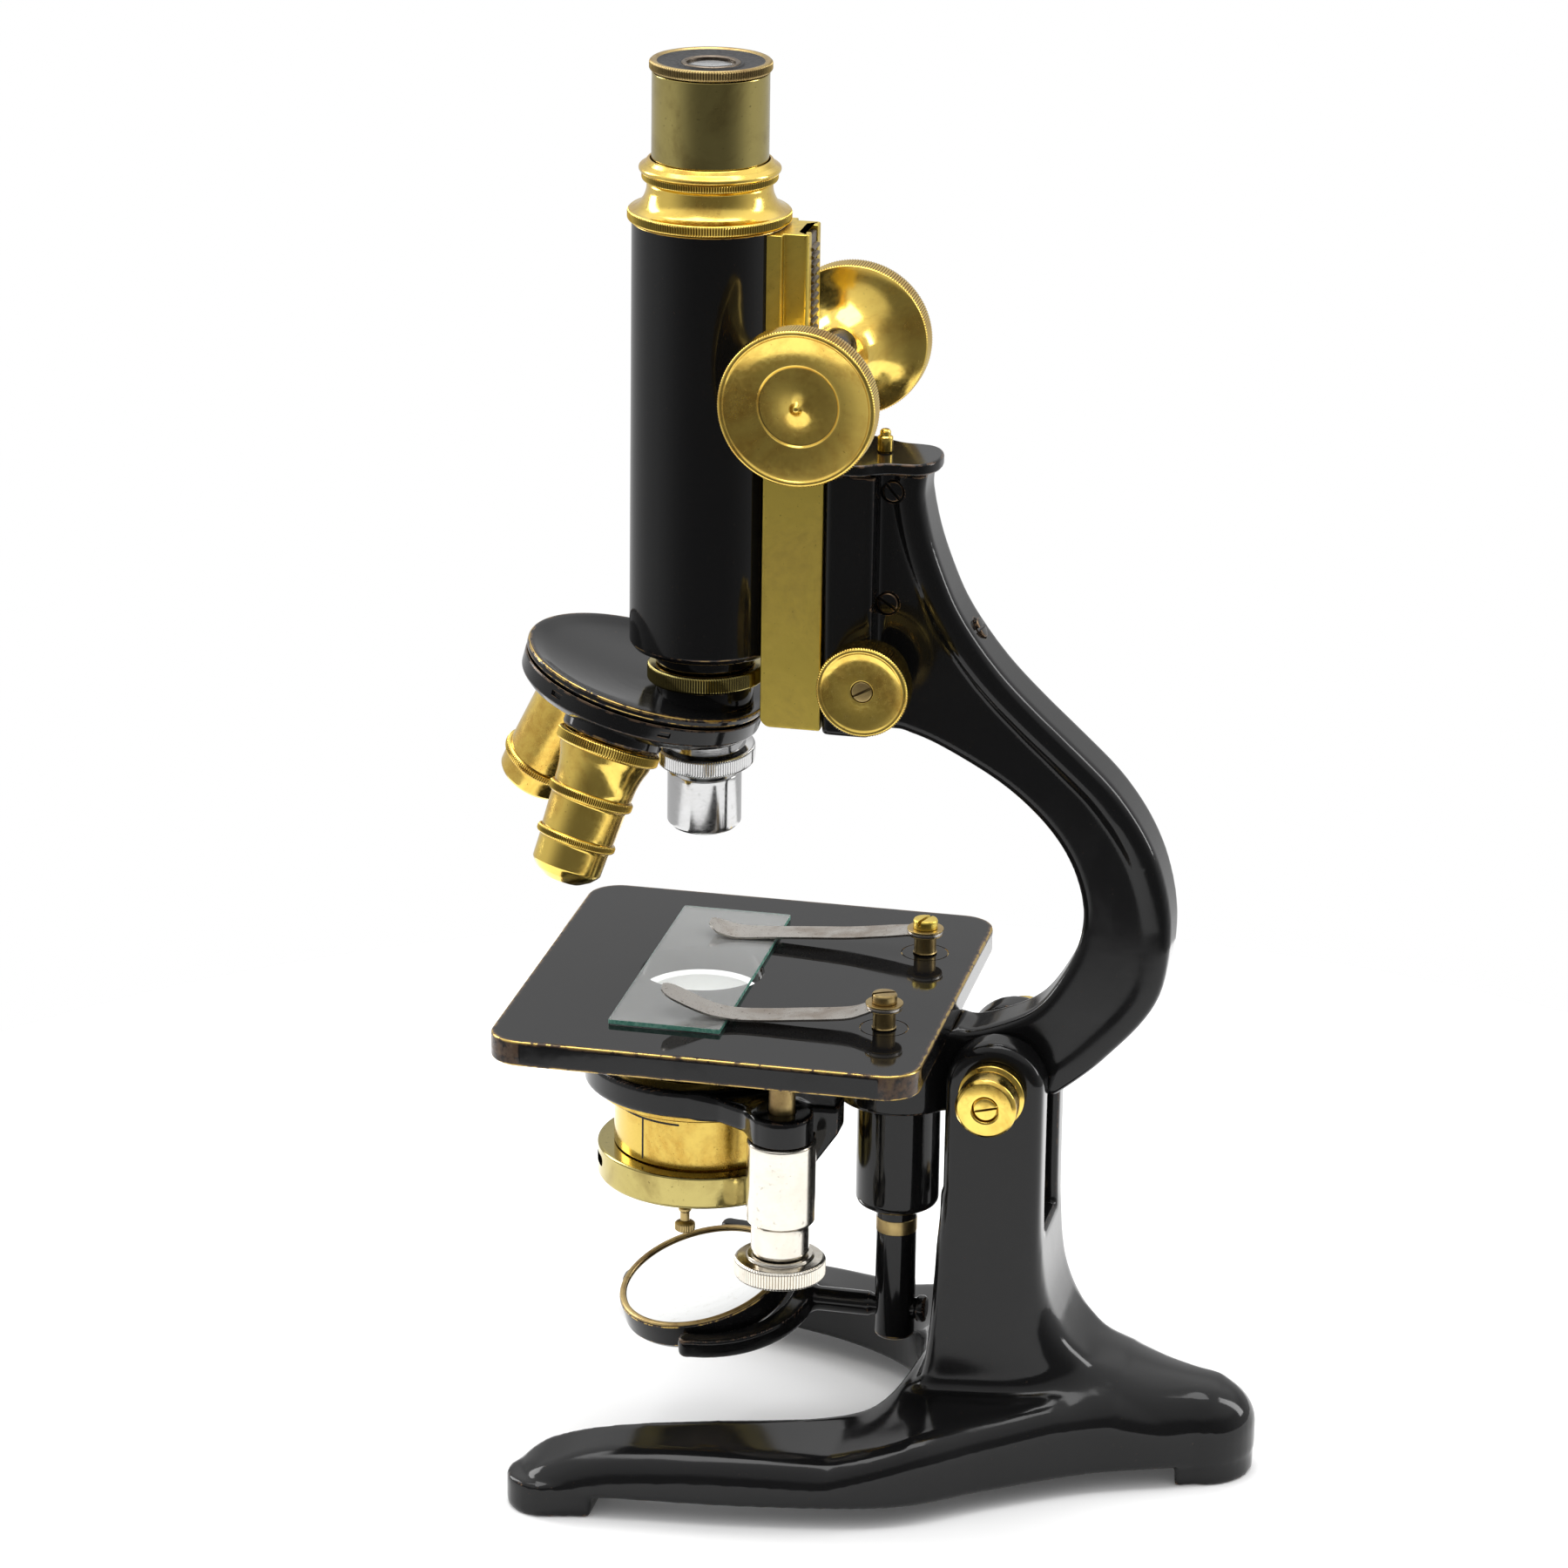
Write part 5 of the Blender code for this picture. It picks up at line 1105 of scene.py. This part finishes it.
def build_substage_arm():
    """Ring for the condenser, with the arm that swells into the collar on its post."""
    step = CAST_STEP * 0.75
    low = (-29.5, -41.0, -38.5)
    x, y, z = grid(low, (40.5, 29.5, -17.5), step)
    ring = meet(np.hypot(x, y) - 27.5, np.maximum(z + 19.5, -26.2 - z), 0.9)
    span = math.hypot(POST.x, POST.y)
    along, across = (x * POST.x + y * POST.y) / span, np.abs(-x * POST.y + y * POST.x) / span
    width = np.interp(along, (24, 28, 34, 40), (13.5, 10.0, 7.2, 6.6))
    sag = np.interp(along, (24, 30, 40), (0.0, 1.0, 2.2))
    web = meet(np.maximum(across - width, np.maximum(22 - along, along - span)),
               np.maximum(z + 19.9 + sag * 0.35, -25.8 - sag * 0.5 - z), 1.1)
    collar = meet(np.hypot(x - POST.x, y - POST.y) - 7.2, np.maximum(z + 20.2, -28.4 - z), 0.9)
    edge = [(24, -20.5), (38, -20.5), (38, -27), (32, -36), (24, -36)]
    gusset = meet(outline_distance(x, z, edge), np.maximum(-y - 25.5, y + 17.6), 1.0)
    body = blend(blend(ring, web, 2.5), collar, 2.0)
    body = blend(body, gusset.astype(np.float32), 2.0)
    body = np.maximum(body, 21.6 - np.hypot(x, y))
    post = at(POST.x, POST.y, 0)
    casting("substage_arm", body, low, step, CAST_ENAMEL, AXIS,
            (round_cutter(3.4, -60, 0, post), round_cutter(8.6, -60, -26.7, post)), 3)


def build_condenser():
    profile = [(18.6, -12), (21.0, -12), (21.3, -12.4), (21.3, -26.5), (24.6, -26.5), (25.0, -26.8),
               (25.0, -27.7), (24.6, -28.1), (20.9, -28.3), (20.4, -28.8), (20.4, -41.8), (18.6, -41.8)]
    turned("condenser_barrel", profile, AMBER, AXIS, steps=160, width=0.15)
    dome = smooth_curve([(0, -4.8), (6, -5.1), (11, -5.9), (13.2, -6.7)], 3)
    profile = dome + [(13.2, -12.5), (18.3, -14.5), (18.3, -16), (0, -16)]
    # the condenser lens is painted white and glows with painted light in place of the mirror's light
    turned("condenser_lens", profile, PAINTED_GLOW_LENS, AXIS, width=0.1)
    profile = [(16.5, -42.1), (23.9, -42.1), (24.3, -42.5), (24.3, -49.3), (23.9, -50.0), (23.0, -50.0),
               (22.8, -49.6), (22.8, -48.6), (16.5, -48.6)]
    slot = prism_mesh("cutter", rounded_rectangle(-3.2, 3.2, -1.3, 1.3, 1.2, 4), 21, 30, 0)
    window = at(0, 0, -45.4) @ turn(204) @ ALONG_X @ turn(90)
    turned("condenser_base_ring", profile, OLIVE, AXIS, steps=160, width=0.2, cutters=[(slot, window)])
    strips = (("mark_level", 221, 268.4, -31.0, -30.5), ("mark_upright", 240.6, 242.0, -41.0, -31.0))
    for name, start, end, low, high in strips:
        curved_strip(name, 20.44, 0.3, start, end, low, high, DULL_BLACK, AXIS, "substage")
    turned("iris_plate", sleeve(4.5, 16.2, -45.8, -45), RACK_STEEL, AXIS, width=0.1)
    profile = [(0, -57.3), (1.9, -57.2), (2.4, -56.8, 1), (2.4, -55.3, 1), (1.9, -54.9), (1.1, -54.6),
               (1.1, -52.4), (1.5, -52.1), (1.5, -51.4), (1.0, -51.1), (1.0, -48.9), (0, -48.9)]
    turned("iris_pin", profile, AGED, at(0.9, -19.8, 0), pitch=0.6, depth=0.15, width=0.12)


def build_substage_post():
    post = at(POST.x, POST.y, 0)
    profile = [(3.4, -26.9), (7.6, -26.9), (8.0, -27.4), (8.0, -46.4), (7.6, -47.0), (6.9, -47.2),
               (6.75, -48.0), (6.75, -54.2), (6.4, -54.9), (3.4, -54.9)]
    turned("substage_sleeve", profile, NICKEL, post, steps=128, width=0.2)
    profile = [(0, -55.2), (7.6, -55.2), (7.8, -55.9), (9.9, -56.1), (10.6, -56.7, 1), (10.6, -60.0, 1),
               (10.1, -60.6), (7.0, -60.7), (6.6, -60.4), (0, -60.4)]
    turned("substage_knob", profile, NICKEL, post, pitch=0.72, depth=0.3, width=0.2)


def build_tail_rod():
    tail = at(TAIL.x, 0, 0)
    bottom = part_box("tail_rod")[0].z / MM + FLOOR
    profile = [(0, -30), (4.75, -30), (4.75, bottom + 0.8), (4.2, bottom), (0, bottom)]
    pin_hole = round_cutter(2.75, -10, 10, at(TAIL.x, 0, MIRROR.z) @ ALONG_X)
    turned("tail_rod", profile, ENAMEL, tail, cutters=[pin_hole])
    band = [(4.5, -56.6), (4.82, -56.8), (4.82, -60.2), (4.5, -60.4)]
    turned("tail_rod_worn_band", band, AGED, tail, "mirror_tail", width=0.1)


def build_mirror():
    """Silvered glass in a shallow cell, on two pins in the fork."""
    lean = Vector(JOINTS["mirror_tilt"]["axis"])
    centre = at(*MIRROR) @ Matrix.Rotation(math.atan2(lean.z, lean.y), 4, "X")
    build_mirror_fork(centre)
    cell = centre @ turn(-12.5, "Y")
    radius = CELL_RADIUS
    profile = [(18.9, 2.6), (19.2, 3.3), (19.7, 3.6), (20.1, 3.45), (radius, 3.0), (radius, -2.2),
               (19.6, -3.4), (17, -3.6), (0, -3.6), (0, 0.6), (18.9, 0.6)]
    turned("mirror_cell", profile, ENAMEL, cell, steps=128, width=0.25)
    for side, sign, _ in SIDES:
        pin = [(0, 19.6), (1.2, 19.6), (1.2, 22.4), (0, 22.4)]
        turned(f"mirror_pin_{side}", pin, AGED, cell @ turn(-90 * sign, "X"), "mirror", steps=32, width=0.1)
    rim = [(18.9, 3.55), (19.4, 3.72), (20.0, 3.6), (20.35, 3.3), (20.0, 3.0), (18.9, 3.0)]
    turned("mirror_rim", rim, AGED, cell, "mirror", steps=128, width=0.12)
    hollow = [(r, 2.0 + r * r / 380) for r in (0, 2, 5, 8, 11, 14, 16.5, 18.8)]
    turned("mirror_glass", hollow + [(18.8, 0.9), (0, 0.9)], SILVER, cell, steps=128, width=0.05)


def build_mirror_fork(centre):
    """Crescent fork, thickest where its neck leaves it, with rounded ends at the mirror's pins."""
    step = CAST_STEP * 0.75
    low = (-5.0, -26.5, -4.5)
    x, y, z = grid(low, (56.0, 26.5, 4.5), step)
    inner = FORK_INNER
    crescent = np.maximum(np.hypot(x - FORK_SHIFT, y) - FORK_OUTER, inner - np.hypot(x, y))
    ends = np.hypot(x - 0.7, np.abs(y) - 23.2) - 2.1
    crescent = np.minimum(np.maximum(crescent, 0.7 - x), np.maximum(ends, inner - 0.15 - np.hypot(x, y)))
    ring = meet(crescent, np.abs(z) - 2.5, 0.9)
    reach = TAIL.x - MIRROR.x
    radius = np.interp(x, (24, 27, reach - 6, reach - 5.2), (3.6, 2.9, 2.9, 2.4))
    around = np.hypot(y, z)
    neck = meet(around - radius, np.maximum(23 - x, x - reach - 7.4), 0.5)
    nut = meet(around - 3.2, np.maximum(reach + 5.3 - x, x - reach - 7.6), 0.5)
    body = blend(ring, np.minimum(neck, nut), 1.6)
    pins = [round_cutter(1.3, 18, 24, centre @ turn(-90 * sign, "X"), 32) for _, sign, _ in SIDES]
    casting("mirror_fork", body, low, step, CAST_ENAMEL, centre, pins, 2)


# Kept nodes, studio and camera ----

def finish_cad_nodes():
    """The rack and the pinion have their real teeth already, so they stay and only get their steel."""
    for name, finish in (("focus_rack", RACK_STEEL), ("pinion_shaft", STEEL)):
        node = frame["nodes"][name]
        node.data.materials.clear()
        node.data.materials.append(finish.material)


def build_floor():
    """Pale table top just larger than the object, white like the backdrop behind it."""
    bm = bmesh.new()
    bmesh.ops.create_circle(bm, cap_ends=True, radius=FLOOR_RADIUS, segments=96)
    mesh = bpy.data.meshes.new("floor")
    bm.to_mesh(mesh)
    bm.free()
    floor = bpy.data.objects.new("floor", mesh)
    bpy.context.scene.collection.objects.link(floor)
    paper = Finish("floor_paper", "floor")
    grain = paper.noise(40, 3.0)
    paper.set("Base Color", paper.mix(grain, (0.90, 0.90, 0.90), (0.93, 0.93, 0.93)))
    paper.set("Roughness", 0.9)
    paper.set("Emission Color", (1.0, 1.0, 1.0))
    paper.set("Emission Strength", 0.06)
    paper.set("Specular IOR Level", 0.1)
    mesh.materials.append(paper.material)


def tent_part(tree, direction, towards, turned_to, brightness):
    """Brightness that changes with how far the direction points towards a vector."""
    facing = tree.nodes.new("ShaderNodeVectorMath")
    facing.operation = "DOT_PRODUCT"
    tree.links.new(direction, facing.inputs[0])
    facing.inputs[1].default_value = towards
    shade = tree.nodes.new("ShaderNodeMapRange")
    shade.interpolation_type = "SMOOTHSTEP"
    tree.links.new(facing.outputs["Value"], shade.inputs["Value"])
    for name, number in zip(("From Min", "From Max", "To Min", "To Max"), turned_to + brightness):
        shade.inputs[name].default_value = number
    return shade.outputs["Result"]


def build_world():
    """White backdrop; what the object reflects is a grey tent, darker in front and brighter overhead."""
    world = bpy.data.worlds.new("studio")
    bpy.context.scene.world = world
    world.use_nodes = True
    tree = world.node_tree
    nodes, links = tree.nodes, tree.links
    nodes.clear()
    direction = nodes.new("ShaderNodeTexCoord").outputs["Generated"]
    front = tent_part(tree, direction, FRONT, *TENT_FRONT)
    above = tent_part(tree, direction, (0, 0, 1), *TENT_TOP)
    total = nodes.new("ShaderNodeMath")
    links.new(front, total.inputs[0])
    links.new(above, total.inputs[1])
    tent, backdrop, output = (nodes.new(kind) for kind in
                              ("ShaderNodeBackground", "ShaderNodeBackground", "ShaderNodeOutputWorld"))
    links.new(total.outputs[0], tent.inputs["Color"])
    backdrop.inputs["Color"].default_value = (1, 1, 1, 1)
    seen, mix = nodes.new("ShaderNodeLightPath"), nodes.new("ShaderNodeMixShader")
    links.new(seen.outputs["Is Camera Ray"], mix.inputs[0])
    links.new(tent.outputs[0], mix.inputs[1])
    links.new(backdrop.outputs[0], mix.inputs[2])
    links.new(mix.outputs[0], output.inputs["Surface"])


def area_light(name, position, width, height, power):
    light = bpy.data.lights.new(name, "AREA")
    light.shape = "RECTANGLE"
    light.size, light.size_y = width * MM, height * MM
    light.energy = power
    obj = bpy.data.objects.new(name, light)
    bpy.context.scene.collection.objects.link(obj)
    spot, aim = place(*position), place(*LIGHT_TARGET)
    obj.matrix_world = Matrix.Translation(spot) @ (spot - aim).to_track_quat("Z", "Y").to_matrix().to_4x4()


def build_lights():
    for light in LIGHTS:
        area_light(*light)


def build_camera():
    """A long lens, a little to the limb's side and above."""
    azimuth, pitch, roll = (math.radians(angle) for angle in CAMERA_TURNS)
    back = Vector((math.sin(azimuth) * math.cos(pitch), -math.cos(azimuth) * math.cos(pitch),
                   math.sin(pitch)))
    level_right = Vector((math.cos(azimuth), math.sin(azimuth), 0))
    level_up = back.cross(level_right)
    right = level_right * math.cos(roll) + level_up * math.sin(roll)
    up = level_up * math.cos(roll) - level_right * math.sin(roll)
    camera = bpy.data.cameras.new("camera")
    camera.lens, camera.sensor_width = CAMERA_LENS, SENSOR
    camera.clip_start, camera.clip_end = 0.05, 50
    obj = bpy.data.objects.new("camera", camera)
    bpy.context.scene.collection.objects.link(obj)
    axes = Matrix((right, up, back)).transposed().to_4x4()
    obj.matrix_world = Matrix.Translation(place(*CAMERA_PLACE)) @ axes
    bpy.context.scene.camera = obj


def build_microscope():
    build_foot()
    build_inclination_joint()
    build_limb()
    build_limb_top()
    build_tail_sleeve()
    build_fine_focus()
    build_slide_block()
    build_coarse_focus()
    build_tube_slide()
    build_tube()
    build_eyepiece()
    build_nosepiece()
    build_stage()
    build_clip_posts()
    build_substage_rod()
    build_clips()
    build_slide()
    build_substage_arm()
    build_condenser()
    build_substage_post()
    build_tail_rod()
    build_mirror()
    finish_cad_nodes()


build_microscope()
build_floor()
build_world()
build_lights()
build_camera()
bpy.context.scene.view_settings.view_transform = "Standard"
